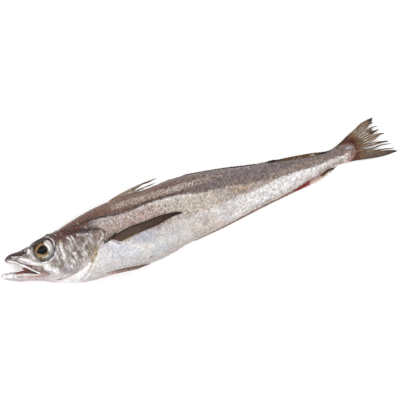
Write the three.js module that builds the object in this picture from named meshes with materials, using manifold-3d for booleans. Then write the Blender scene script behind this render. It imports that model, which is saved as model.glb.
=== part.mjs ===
// A whole small whiting, 340 mm long, lying on its right side with its mouth a little open.
//
// The fish is first shaped straight, in its own frame, in millimetres:
//   along  from the chin (0) to the tail tips (340)
//   up     from the belly to the back, across the fish
//   out    from the midplane to the left side (+) or the right side (-)
// Then it is laid down: the left side faces +Z, the back faces +Y and the head points to -X.
// The flank that bears its weight is pressed flat against the table, at Z = 0.

import * as THREE from "three";
import { mergeVertices } from "three/addons/utils/BufferGeometryUtils.js";
import Module from "manifold-3d";

const wasm = await Module();
wasm.setup();

// ---- Driving dimensions ----

const SNOUT = 6;
const CHIN = -1.2;
const MOUTH_CORNER = 31;
const TAIL_ROOT = 306.5;

// The back, from the snout to the root of the tail fin, as [along, up].
const BACK = [
  [SNOUT, 8.2], [8, 10.2], [12, 11.8], [20, 12.1], [26, 13], [34, 15.3], [42, 17.2], [55, 20], [70, 23.7],
  [85, 27.2], [100, 29], [120, 29.9], [140, 30.8], [150, 32], [165, 31.8], [180, 30.1], [200, 27.2],
  [220, 23.5], [245, 19.9], [265, 16.9], [283, 15.5], [294, 18.4], [302, 19], [TAIL_ROOT, 15.5],
];

// The upper lip to the corner of the mouth, then the throat, the belly and the tail stalk.
const BELLY = [
  [SNOUT, 7.2], [10, 5.3], [14, 3.3], [20.4, -1.5], [26, -6.4], [MOUTH_CORNER, -10.8], [34, -17.8],
  [40, -21], [50, -24.1], [60, -27], [70, -28.3], [85, -28.4], [115, -28.4], [130, -27.8], [140, -26],
  [150, -23.2], [165, -20.4], [180, -18.4], [200, -14.9], [220, -11], [240, -7.6], [252, -5.2],
  [262, -2.4], [272, -0.4], [282, 2.2], [288, 3.4], [300, 3.4], [TAIL_ROOT, 8],
];

// Half the width of the head and body.
const HALF_WIDTH = [
  [SNOUT, 1.2], [7.5, 3.2], [10, 4.7], [14, 6.1], [20, 7.7], [28, 9.7], [36, 11.4], [45, 13], [60, 15.5],
  [75, 17.3], [90, 18.5], [110, 19.8], [130, 19.8], [150, 18.6], [175, 16], [200, 13.2], [225, 10.4],
  [250, 7.9], [270, 6], [285, 4.6], [297, 3.4], [TAIL_ROOT, 1],
];

const JAW_TOP = [
  [CHIN, -2.2], [0.3, -0.9], [6, -2.2], [11.5, -4.4], [14, -6.8], [22, -9.1], [MOUTH_CORNER, -10.9],
  [45, -13],
];
const JAW_UNDER = [
  [CHIN, -3.4], [0.3, -5.6], [2.2, -6.9], [6, -8.9], [13, -11.9], [21, -13.7], [33, -17.4], [45, -21.8],
];
const JAW_HALF_WIDTH = [
  [CHIN, 1.2], [0.3, 2.7], [3, 4.1], [8, 5.4], [16, 6.9], [25, 8.4], [33, 9.6], [45, 10],
];
const JAW_STATIONS = [CHIN, 0.3, 2, 4, 7, 10, 12, 14, 17, 20, 24, 28, 33, 38, 43];

// The tongue lies on the floor of the mouth, between the sides of the lower jaw.
const TONGUE_TOP = [[9, -5.6], [12, -4.6], [18, -4.4], [25, -5.4], [38, -9]];
const TONGUE_UNDER = [[9, -8], [38, -14]];
const TONGUE_HALF_WIDTH = [[9, 1], [12, 2.6], [18, 3.6], [38, 5]];
const TONGUE_STATIONS = [9, 10, 12, 15, 18, 22, 26, 31, 37];

// Height of the midplane above the table, and how far the head is rolled back-upwards.
const MIDPLANE = [
  [0, 12], [30, 13.8], [60, 16.2], [80, 17.7], [95, 18.4], [110, 18.7], [130, 18.7], [150, 17.6],
  [175, 15.1], [200, 12.4], [225, 9.8], [250, 7.4], [270, 5.6], [285, 4.4], [300, 3.4], [320, 2.2],
  [340, 1.3],
];
const ROLL_DEG = [[0, 10], [60, 9], [85, 5], [110, 0], [340, 0]];

const SECTION_SIDES = 28;
const SECTION_POWER = 2.15; // 2 is an ellipse, more is fuller at the shoulders
const LIP_POWER = 4; // the palate and the mouth floor are nearly flat
const LIP_FADE = 12; // how far behind the mouth the flat underside turns round again
const FLANK_SHARE = 0.5; // the widest level, as a share of the height

const EYE = { along: 39.6, up: 8.9, radius: 9.1, bulge: 1.6, depth: 7, segments: 24, rings: 14 };
const GILL_COVER = {
  start: 50, fullFrom: 62, rear: 90.5, top: 15, tipLevel: 2, slope: 0.55, step: 0.8, fade: 3,
};

// Spacing of the sections, as [up to this far along, spacing]: closest where the shape changes most.
const SECTION_SPACING = [[12, 1.5], [100, 3.4], [280, 6], [TAIL_ROOT, 3]];

const FIN_THICKNESS = 1.1;
const FIN_ROOT = 2.5; // how deep each fin is set in the flesh
const FIN_STATIONS = 5; // spacing of the points along a long fin's edge

// How far each long folded fin stands out from the back or the belly, as [along, height].
const SECOND_DORSAL_HEIGHT = [[160, 0.3], [200, 0.7], [230, 1.1], [256, 2.4], [272, 2.4], [283, 0.6]];
const ANAL_HEIGHT = [[152, 0.5], [208, 1.1], [236, 1.8], [252, 2.2], [262, 4.1], [275, 4.6], [287, 0.5]];

const FIRST_DORSAL = [
  [98, 26], [99, 29.4], [110, 32.2], [121, 33.9], [130, 35.2], [144.4, 36.1], [140, 34], [129, 31.5],
  [128, 26],
];
const PELVIC = [[83, -25.5], [96, -26.6], [108, -27.9], [119, -29.5], [110, -30], [97, -29.8], [86, -29]];
const PELVIC_OUT = 4.2;

// The pectoral fin's upper and lower edges, as [along, up].
const PECTORAL_UPPER = [[89, 0.2], [98, 1.5], [114, 4], [130, 5.3], [146, 5.2], [157, 2.4]];
const PECTORAL_LOWER = [[89, -2.5], [98, -3.4], [112, -3.3], [128, -1.1], [144, 1], [157, 1.8]];
const PECTORAL_PLACE = { start: 89, end: 157, proud: 1.1, sunk: 1.5, stations: 12 };

// The frayed lobes of the tail fin, top to bottom. Each is a closed outline of [along, up].
const TAIL_LOBES = [
  [[283, 13], [284, 15.8], [294.7, 19.4], [302.5, 23.4], [316.4, 30.2], [322.4, 31.4], [327.1, 31.9],
    [325.2, 29.5], [317.5, 23], [304, 13]],
  [[303, 16], [317.5, 23.4], [326.8, 24.2], [331, 22], [326.6, 19.9], [318.8, 16.8], [303, 12]],
  [[303, 14.5], [318.8, 17.4], [324.7, 18], [333.4, 16.3], [324.5, 14.4], [318.6, 12.6], [303, 10]],
  [[303, 12.5], [318.6, 13], [330, 11.2], [334.8, 9.4], [319, 10.3], [311.3, 10.7], [303, 10]],
  [[303, 10], [311.3, 10.2], [324.5, 8.8], [336.5, 6.9], [325.8, 6.8], [323.5, 5.6], [303, 4]],
  [[303, 8], [323.5, 6.2], [337.7, 3], [325.6, 3.4], [303, 3]],
  [[292, 8], [303, 9], [325.6, 4], [333.8, 2.1], [339.4, -0.1], [328.5, -0.9], [318.8, -0.1],
    [309.7, 1.4], [300.1, 2.8], [290.7, 3.3]],
];

// The table's box, of which Z = 0 is the top face.
const TABLE = { start: -30, length: 400, width: 200, height: 40 };
const SAME_POINT = 1e-4; // points nearer than this are one

// ---- Lines, sections and solids ----

// A smooth line through [along, value] pairs, as a function of along.
function line(pairs) {
  const last = pairs.length - 1;
  const slope = (i) => {
    const before = pairs[Math.max(i - 1, 0)];
    const after = pairs[Math.min(i + 1, last)];
    return (after[1] - before[1]) / (after[0] - before[0]);
  };
  return (along) => {
    const x = THREE.MathUtils.clamp(along, pairs[0][0], pairs[last][0]);
    let i = 0;
    while (i < last - 1 && pairs[i + 1][0] < x) i += 1;
    const width = pairs[i + 1][0] - pairs[i][0];
    const t = (x - pairs[i][0]) / width;
    const rise = t * t * (3 - 2 * t);
    const leave = t * (1 - t) * (1 - t) * width * slope(i);
    const arrive = t * t * (t - 1) * width * slope(i + 1);
    return pairs[i][1] * (1 - rise) + pairs[i + 1][1] * rise + leave + arrive;
  };
}

const backLine = line(BACK);
const bellyLine = line(BELLY);
const halfWidth = line(HALF_WIDTH);
const midplane = line(MIDPLANE);
const roll = line(ROLL_DEG);

// The gill cover stands a little proud of the flank behind it; its rear edge slants forward below.
function gillCoverStep(along, up) {
  const below = Math.max(0, GILL_COVER.tipLevel - up);
  const edge = GILL_COVER.rear - GILL_COVER.slope * below;
  const ahead = THREE.MathUtils.smoothstep(edge - along, 0, GILL_COVER.fade);
  const under = THREE.MathUtils.smoothstep(GILL_COVER.top - up, 0, GILL_COVER.fade);
  const behindEye = THREE.MathUtils.smoothstep(along, GILL_COVER.start, GILL_COVER.fullFrom);
  return GILL_COVER.step * ahead * under * behindEye;
}

// One oval section: its power is given separately above and below the widest level.
function section(along, top, under, width, powerAbove, powerBelow) {
  const level = under + (top - under) * FLANK_SHARE;
  return Array.from({ length: SECTION_SIDES }, (_, i) => {
    const turn = (i / SECTION_SIDES) * 2 * Math.PI;
    const above = Math.sin(turn) >= 0;
    const power = 2 / (above ? powerAbove : powerBelow);
    const reach = above ? top - level : level - under;
    const up = level + Math.sign(Math.sin(turn)) * reach * Math.abs(Math.sin(turn)) ** power;
    const out = Math.sign(Math.cos(turn)) * width * Math.abs(Math.cos(turn)) ** power;
    return new THREE.Vector3(along, up, out);
  });
}

// How far out the flank's surface lies at a place on the trunk.
function flankOut(along, up) {
  const top = backLine(along);
  const under = bellyLine(along);
  const reach = (top - under) / 2;
  const height = Math.abs(up - (top + under) / 2) / reach;
  return halfWidth(along) * (1 - height ** SECTION_POWER) ** (1 / SECTION_POWER);
}

// A closed skin over rings that all have the same number of points.
function loft(rings) {
  const sides = rings[0].length;
  const points = rings.flat();
  const faces = [];
  for (let r = 0; r < rings.length - 1; r += 1) {
    for (let s = 0; s < sides; s += 1) {
      const a = r * sides + s;
      const b = r * sides + ((s + 1) % sides);
      faces.push(a, a + sides, b, b, a + sides, b + sides);
    }
  }
  const firstCentre = points.length;
  const lastCentre = firstCentre + 1;
  for (const ring of [rings[0], rings[rings.length - 1]]) {
    const centre = new THREE.Vector3();
    ring.forEach((point) => centre.addScaledVector(point, 1 / sides));
    points.push(centre);
  }
  const lastRing = (rings.length - 1) * sides;
  for (let s = 0; s < sides; s += 1) {
    const next = (s + 1) % sides;
    faces.push(firstCentre, s, next);
    faces.push(lastCentre, lastRing + next, lastRing + s);
  }
  const geometry = new THREE.BufferGeometry().setFromPoints(points);
  geometry.setIndex(faces);
  return geometry;
}

// Lays a straight-fish geometry down on the table.
function lay(geometry) {
  const position = geometry.getAttribute("position");
  for (let i = 0; i < position.count; i += 1) {
    const along = position.getX(i);
    const angle = THREE.MathUtils.degToRad(roll(along));
    const up = position.getY(i);
    const out = position.getZ(i);
    position.setY(i, up * Math.cos(angle) - out * Math.sin(angle));
    position.setZ(i, midplane(along) + up * Math.sin(angle) + out * Math.cos(angle));
  }
  return geometry;
}

// A manifold solid from any closed geometry.
function solid(geometry) {
  const bare = geometry.clone();
  bare.deleteAttribute("normal");
  bare.deleteAttribute("uv");
  const merged = mergeVertices(bare, SAME_POINT);
  return new wasm.Manifold(
    new wasm.Mesh({
      numProp: 3,
      vertProperties: merged.getAttribute("position").array,
      triVerts: new Uint32Array(merged.index.array),
    }),
  );
}

// ---- The pieces of the fish, before they are grown together ----

// Where the sections of the head and trunk stand.
function stations() {
  const places = [SNOUT];
  let here = SNOUT;
  while (here < TAIL_ROOT) {
    const [, spacing] = SECTION_SPACING.find(([end]) => here < end);
    here = Math.min(here + spacing, TAIL_ROOT);
    places.push(here);
  }
  return places;
}

function headAndTrunk() {
  const rings = stations().map((along) => {
    const lip = THREE.MathUtils.smoothstep(along, MOUTH_CORNER, MOUTH_CORNER + LIP_FADE);
    const powerBelow = THREE.MathUtils.lerp(LIP_POWER, SECTION_POWER, lip);
    const ring = section(
      along, backLine(along), bellyLine(along), halfWidth(along), SECTION_POWER, powerBelow,
    );
    ring.forEach((point) => {
      point.z += Math.sign(point.z) * gillCoverStep(along, point.y);
    });
    return ring;
  });
  return loft(rings);
}

// A tapering body between three lines: its top, its underside and its half width.
function taperedBody(places, topPairs, underPairs, widthPairs, powerAbove) {
  const [top, under, width] = [topPairs, underPairs, widthPairs].map(line);
  return loft(
    places.map((along) => section(along, top(along), under(along), width(along), powerAbove, SECTION_POWER)),
  );
}

// An eyeball: a flattened ball that bulges a little from the side of the head.
function eye(side) {
  const ball = new THREE.SphereGeometry(EYE.radius, EYE.segments, EYE.rings);
  ball.rotateX(Math.PI / 2);
  ball.scale(1, 1, EYE.depth / EYE.radius);
  const surface = flankOut(EYE.along, EYE.up);
  ball.translate(EYE.along, EYE.up, side * (surface + EYE.bulge - EYE.depth));
  return ball;
}

// A thin fin in or beside the midplane, cut to a closed outline of [along, up].
function fin(outline, out = 0) {
  const shape = new THREE.Shape(outline.map(([along, up]) => new THREE.Vector2(along, up)));
  const plate = new THREE.ExtrudeGeometry(shape, { depth: FIN_THICKNESS, bevelEnabled: false });
  plate.translate(0, 0, out - FIN_THICKNESS / 2);
  return plate;
}

// The outline of a long fin folded down along the back (direction 1) or the belly (direction -1).
function foldedFin(heights, bodyLine, direction) {
  const height = line(heights);
  const start = heights[0][0];
  const end = heights[heights.length - 1][0];
  const count = Math.ceil((end - start) / FIN_STATIONS);
  const places = Array.from({ length: count + 1 }, (_, i) => start + ((end - start) * i) / count);
  const edge = places.map((along) => [along, bodyLine(along) + direction * height(along)]);
  const root = places.map((along) => [along, bodyLine(along) - direction * FIN_ROOT]);
  return [...edge, ...root.reverse()];
}

// A pectoral fin lying back along the flank, thin and close to the skin.
function pectoral(side) {
  const upper = line(PECTORAL_UPPER);
  const lower = line(PECTORAL_LOWER);
  const { start, end, proud, sunk, stations: count } = PECTORAL_PLACE;
  const rings = Array.from({ length: count + 1 }, (_, i) => {
    const along = start + ((end - start) * i) / count;
    const ring = [
      [upper(along), -sunk], [lower(along), -sunk], [lower(along), proud], [upper(along), proud],
    ].map(([up, rise]) => new THREE.Vector3(along, up, side * (flankOut(along, up) + rise)));
    return side > 0 ? ring : ring.reverse();
  });
  return loft(rings);
}

// ---- The whole fish ----

const sides = [1, -1];
const pieces = [
  headAndTrunk(),
  taperedBody(JAW_STATIONS, JAW_TOP, JAW_UNDER, JAW_HALF_WIDTH, LIP_POWER),
  taperedBody(TONGUE_STATIONS, TONGUE_TOP, TONGUE_UNDER, TONGUE_HALF_WIDTH, SECTION_POWER),
  ...sides.map(eye),
  ...sides.map(pectoral),
  ...sides.map((side) => fin(PELVIC, side * PELVIC_OUT)),
  fin(FIRST_DORSAL),
  fin(foldedFin(SECOND_DORSAL_HEIGHT, backLine, 1)),
  fin(foldedFin(ANAL_HEIGHT, bellyLine, -1)),
  ...TAIL_LOBES.map((lobe) => fin(lobe)),
];

const grown = pieces.map((piece) => solid(lay(piece))).reduce((whole, next) => whole.add(next));

// What would reach below the table is pressed flat.
const table = new THREE.BoxGeometry(TABLE.length, TABLE.width, TABLE.height);
table.translate(TABLE.start + TABLE.length / 2, 0, -TABLE.height / 2);
const fish = grown.subtract(solid(table)).getMesh();

const skin = new THREE.BufferGeometry();
skin.setAttribute("position", new THREE.BufferAttribute(fish.vertProperties, 3));
skin.setIndex(new THREE.BufferAttribute(fish.triVerts, 1));
skin.computeBoundingBox();
const middle = skin.boundingBox.getCenter(new THREE.Vector3());
skin.translate(-middle.x, -middle.y, -skin.boundingBox.min.z);
skin.computeVertexNormals();

const silverSkin = new THREE.MeshStandardMaterial({ color: 0xb4a7a2, roughness: 0.32, metalness: 0.15 });
const whiting = new THREE.Mesh(skin, silverSkin);
whiting.name = "whiting";

const part = new THREE.Group();
part.add(whiting);

export default part;
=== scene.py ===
import math
import random

import bmesh
import bpy
from mathutils import Matrix, Vector, noise


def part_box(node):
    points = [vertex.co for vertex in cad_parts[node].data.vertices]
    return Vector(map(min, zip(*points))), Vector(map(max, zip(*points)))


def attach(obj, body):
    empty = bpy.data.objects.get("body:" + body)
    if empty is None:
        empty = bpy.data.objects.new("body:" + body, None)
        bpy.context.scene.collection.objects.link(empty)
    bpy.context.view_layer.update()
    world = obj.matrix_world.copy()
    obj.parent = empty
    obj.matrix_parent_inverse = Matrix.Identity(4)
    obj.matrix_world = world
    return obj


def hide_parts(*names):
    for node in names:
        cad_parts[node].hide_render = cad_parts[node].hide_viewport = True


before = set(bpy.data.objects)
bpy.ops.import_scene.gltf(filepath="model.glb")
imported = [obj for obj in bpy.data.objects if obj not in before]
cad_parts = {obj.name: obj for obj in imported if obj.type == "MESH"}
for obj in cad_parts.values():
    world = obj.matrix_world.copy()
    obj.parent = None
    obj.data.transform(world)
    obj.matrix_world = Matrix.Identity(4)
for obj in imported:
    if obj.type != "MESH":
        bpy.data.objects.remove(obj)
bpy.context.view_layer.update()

MM = 0.001

# A whole small whiting, 340 mm long, lying on its right side with its mouth a little open.
#
# Every piece is first shaped on a straight fish, in millimetres:
#   along  from the chin (0) to the tail tips (340)
#   up     from the belly to the back
#   out    from the midplane to the left side (+) or the right side (-)
# laid() then puts a point of the straight fish where it lies on the table, in metres.
# The head is rolled a little, so a mark on its flank is placed by its seen level: see seen_level().

SNOUT = 6.0
CHIN = -1.2
MOUTH_CORNER = 31.2
HEAD_END = 52.0
CHEEK_END = 104.0
TAIL_ROOT = 306.5
FIRST_RAY_TOP = 36.1  # the highest point, at the tip of the first dorsal ray

SECTION_POWER = 2.15  # 2 is an ellipse, more is fuller at the shoulders
PRESS_SOFTNESS = 0.7  # how softly the flank rolls off the table where it is pressed flat

EYE = Vector((40.2, 8.9))  # along and up
EYE_SEEN = Vector((40.0, 7.0))  # along and seen level, as for the nostril
NOSTRIL_SEEN = Vector((24.4, 10.9))
EYE_RADIUS = 9.2
EYE_BULGE = 1.9  # how far the eyeball stands out of the flank
EYE_DEPTH = 7.0  # from its front to its middle


def mix(a, b, t):
    return a + (b - a) * t


def ease(x, low=0.0, high=1.0):
    """0 below low, 1 above high, smooth between; high may be the smaller one."""
    t = min(max((x - low) / (high - low), 0.0), 1.0)
    return t * t * (3 - 2 * t)


def band(x, begin, full, fade, end):
    """1 between full and fade, and 0 before begin and after end."""
    return ease(x, begin, full) * ease(x, end, fade)


def line(pairs):
    """A smooth line through (along, value) pairs, as a function of along."""
    last = len(pairs) - 1

    def slope(i):
        before, after = pairs[max(i - 1, 0)], pairs[min(i + 1, last)]
        return (after[1] - before[1]) / (after[0] - before[0])

    def value(along):
        x = min(max(along, pairs[0][0]), pairs[last][0])
        i = 0
        while i < last - 1 and pairs[i + 1][0] < x:
            i += 1
        width = pairs[i + 1][0] - pairs[i][0]
        t = (x - pairs[i][0]) / width
        leave = t * (1 - t) ** 2 * width * slope(i)
        arrive = t * t * (t - 1) * width * slope(i + 1)
        return mix(pairs[i][1], pairs[i + 1][1], ease(t)) + leave + arrive

    step = 0.2
    first = pairs[0][0]
    count = int((pairs[last][0] - first) / step) + 2
    table = [value(first + step * i) for i in range(count + 1)]

    def looked_up(along):
        place = min(max((along - first) / step, 0), count - 1e-6)
        i = int(place)
        return table[i] + (table[i + 1] - table[i]) * (place - i)

    return looked_up


# Levels and widths along the straight fish, as (along, value).
back_line = line([
    (SNOUT, 8.2), (8, 10.2), (12, 11.8), (20, 12.1), (26, 12.8), (34, 14.8), (42, 16.4), (55, 19.4),
    (70, 23.4), (85, 27.2), (100, 29), (120, 29.9), (140, 30.8), (150, 32), (165, 31.8), (180, 30.1),
    (200, 27.2), (220, 23.5), (245, 19.9), (265, 16.9), (283, 15.5), (294, 18.4), (302, 18.6),
    (TAIL_ROOT, 15.5),
])
belly_line = line([
    (SNOUT, 6.6), (10, 2.8), (14, -0.4), (20.4, -6.4), (26, -11.4), (MOUTH_CORNER, -16.9), (35, -18.8),
    (40, -21), (50, -24.1), (60, -27), (70, -28.4), (85, -28.6), (115, -28.6), (130, -27.9), (140, -26),
    (150, -23.2), (165, -20.4), (180, -18.4), (200, -14.9), (220, -11), (240, -7.6), (252, -5.2),
    (262, -2.4), (272, -0.4), (282, 2.2), (288, 3.3), (300, 3.2), (TAIL_ROOT, 8),
])
half_width = line([
    (SNOUT, 0.3), (6.6, 2.2), (8, 3.6), (10, 4.8), (14, 6.2), (20, 7.8), (28, 9.7), (36, 11.4), (45, 13),
    (60, 15.5), (75, 17.3), (90, 18.5), (110, 19.8), (130, 19.8), (150, 18.6), (175, 16), (200, 13.2),
    (225, 10.4), (250, 7.9), (270, 6), (285, 4.6), (297, 3), (TAIL_ROOT, 0.9),
])
jaw_top = line([(CHIN, -2.7), (0.3, -1.7), (6, -2.1), (12, -3), (18, -1.2), (24, 4), (MOUTH_CORNER, 14.4)])
jaw_under = line([
    (CHIN, -3.4), (0.3, -5.7), (2.2, -7), (6, -8.9), (13, -11.9), (21, -13.8), (MOUTH_CORNER, -16.9),
])
jaw_half_width = line([
    (CHIN, 0.3), (-0.4, 2), (1, 3.2), (3, 4.3), (8, 5.6), (16, 7), (24, 8.8), (MOUTH_CORNER, 10.4),
])
upper_lip = line([(SNOUT, 7.5), (10, 6), (14, 4.3), (20.4, -0.3), (26, -5), (MOUTH_CORNER, -9.3)])
lower_lip = line([
    (CHIN, -3), (0.3, -2.4), (6, -3), (9, -3.7), (11.5, -4.4), (16, -5), (20, -5.6), (25.4, -7.4),
    (MOUTH_CORNER, -9.4),
])
cheek_level = line([
    (MOUTH_CORNER, -9.35), (40, -10.5), (52, -8), (70, -3), (90, 0.2), (110, 0.8), (150, 4.4),
])
midplane = line([
    (0, 12), (30, 13.8), (60, 16.2), (80, 17.7), (95, 18.4), (110, 18.7), (130, 18.7), (150, 17.6),
    (175, 15.1), (200, 12.4), (225, 9.8), (250, 7.4), (270, 5.6), (285, 4.4), (300, 3.4), (320, 2.4),
    (340, 1.6),
])
roll_deg = line([(0, 10), (60, 9), (85, 5), (110, 0), (340, 0)])
lateral_line = line([
    (62, 18.3), (69, 18.4), (76, 18.8), (82, 19.5), (91, 19.3), (99, 18.3), (111, 17.9), (126, 19),
    (141, 19.9), (159, 18.9), (166, 18.6), (180, 16.9), (207, 13.6), (232, 11), (257, 9.6), (279, 9.4),
    (297, 10.4),
])

fish_low, fish_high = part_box("whiting")
ALONG_ZERO = fish_low[0] - CHIN * MM
UP_ZERO = fish_high[1] - FIRST_RAY_TOP * MM


def laid(along, up, out):
    """Where a point of the straight fish lies on the table, in metres."""
    turn = math.radians(roll_deg(along))
    side = up * math.cos(turn) - out * math.sin(turn)
    height = midplane(along) + up * math.sin(turn) + out * math.cos(turn)
    pressed = (height + math.hypot(height, PRESS_SOFTNESS)) / 2
    return Vector((ALONG_ZERO + along * MM, UP_ZERO + side * MM, pressed * MM))


def seen_level(along, up, out):
    """The level at which a place on a flank is seen from straight above, because of the roll."""
    turn = math.radians(roll_deg(along))
    return up * math.cos(turn) - abs(out) * math.sin(turn)


def wobble(x, y, z, size, seed=0.0):
    """Smooth noise from about -1 to 1, whose lumps are about size across."""
    return noise.noise(Vector((x / size + seed, y / size - seed, z / size + 2 * seed)))


# ---- Colours ----

HELD_BACK = 0.80  # the share of every colour that is kept: the light is bright enough to whiten the floor


def rgb(code):
    """An sRGB hex colour as linear red, green, blue and alpha."""
    parts = [int(code[i:i + 2], 16) / 255 for i in (1, 3, 5)]
    return [p / 12.92 if p <= 0.04045 else ((p + 0.055) / 1.055) ** 2.4 for p in parts] + [1.0]


# What each part of the fish is coloured, by plain names.
TONES = {
    "white": "#fbf9f8",
    "cream": "#efe9dc",
    "bright": "#e6e2e3",
    "pearl": "#cac5c2",
    "lilac": "#9c909b",
    "blue": "#b3c0d2",
    "rose": "#a9938a",
    "sand": "#c2b6aa",
    "dusk": "#9c8d83",
    "cheek": "#9a8d84",
    "throat": "#dad0cf",
    # edge: painted shade for the keel of the belly
    "edge": "#a3978d",
    "copper": "#7b5a4a",
    "crown": "#5a3830",
    "slate": "#786967",
    "umber": "#2b1c19",
    "brown": "#5d4439",
    "rust": "#6a392f",
    "pinkbrown": "#a67c71",
    "pink": "#d8b3aa",
    "pinkish": "#c59c97",
    "blood": "#8e2527",
    "ochre": "#ad8420",
    "ochrebrown": "#765a2c",
    "paleochre": "#d9c78a",
    "orange": "#bb916c",
    "olive": "#7a6f56",
    "gum": "#8a5f4c",
    "maroon": "#4d211d",
    "gold": "#b98e50",
    "straw": "#dccfb4",
    "tar": "#1b1512",
    "finbrown": "#402c22",
    "fingrey": "#5f4d41",
    "beige": "#9b8874",
    "tawny": "#7f5c36",
    "bark": "#5f4a3a",
    "palate": "#a0604e",
    "rim": "#10171f",
    "pupil": "#0c0e16",
}
tone = {name: rgb(code)[:3] for name, code in TONES.items()}
# a painted highlight: wet places drawn whiter than any skin
tone["painted_glint"] = [1.15, 1.15, 1.15]  # wet places that shine whiter than any skin


def lay(colour, coats):
    """Lays coats over a colour in turn: each is a tone's name and an amount from 0 to 1."""
    for name, amount in coats:
        if amount > 0:
            over = tone[name]
            amount = min(amount, 1.0)
            for i in range(3):
                colour[i] += (over[i] - colour[i]) * amount


def held(colour):
    """A finished colour as a vertex holds it."""
    return [part * HELD_BACK for part in colour] + [1.0]


# ---- Curves on the skin ----

FAR_OFF = 99.0  # the distance given for a place out of a curve's reach


class Route:
    """A curve in the along-up plane, which gives the signed distance to it: positive on its left."""

    def __init__(self, points, steps=4):
        ends = [points[0], *points, points[-1]]
        self.points = []
        for i in range(1, len(ends) - 2):
            p0, p1, p2, p3 = (Vector(p) for p in ends[i - 1:i + 3])
            for k in range(steps):
                t = k / steps
                bend = (2 * p0 - 5 * p1 + 4 * p2 - p3) * t * t + (3 * p1 - p0 - 3 * p2 + p3) * t ** 3
                self.points.append(0.5 * (2 * p1 + (p2 - p0) * t + bend))
        self.points.append(Vector(points[-1]))
        xs = [p.x for p in self.points]
        ys = [p.y for p in self.points]
        self.box = (min(xs), max(xs), min(ys), max(ys))
        self.pairs = [(p.x, p.y, q.x - p.x, q.y - p.y) for p, q in zip(self.points, self.points[1:])]

    def distance(self, along, up, reach=8.0):
        """The signed distance, exact within reach of the curve's box."""
        low_x, high_x, low_y, high_y = self.box
        if not (low_x - reach < along < high_x + reach and low_y - reach < up < high_y + reach):
            return FAR_OFF
        best = 1e9
        sign = 1.0
        for x, y, dx, dy in self.pairs:
            ax, ay = along - x, up - y
            t = min(max((ax * dx + ay * dy) / (dx * dx + dy * dy), 0.0), 1.0)
            far = (ax - dx * t) ** 2 + (ay - dy * t) ** 2
            if far < best - 1e-9:
                best = far
                sign = 1.0 if dx * ay - dy * ax > 0 else -1.0
        return sign * math.sqrt(best)


# The rear edge of the gill cover at seen levels, from over the cheek round its tip to the throat.
gill_route = Route([
    (47, 18.6), (54.7, 17.3), (61.2, 15.6), (67.8, 14.2), (74.7, 13.8), (80.1, 13), (85.4, 11.2),
    (88.8, 8.6), (90.2, 5.7), (89.9, 2.9), (87.4, 0.1), (84.5, -1.8), (82, -3.4), (78.9, -6.3),
    (75.4, -9.8), (73, -13.1), (66, -16.6), (58, -18.8), (46, -20),
])
# The rear edge of the pale gill membrane that folds out from under it.
membrane_route = Route([
    (83, -6.4), (81.6, -10.4), (78.8, -13.8), (75.6, -17), (72, -20.2), (66.5, -24.4), (58, -26.4),
    (50, -27.5),
])
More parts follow.
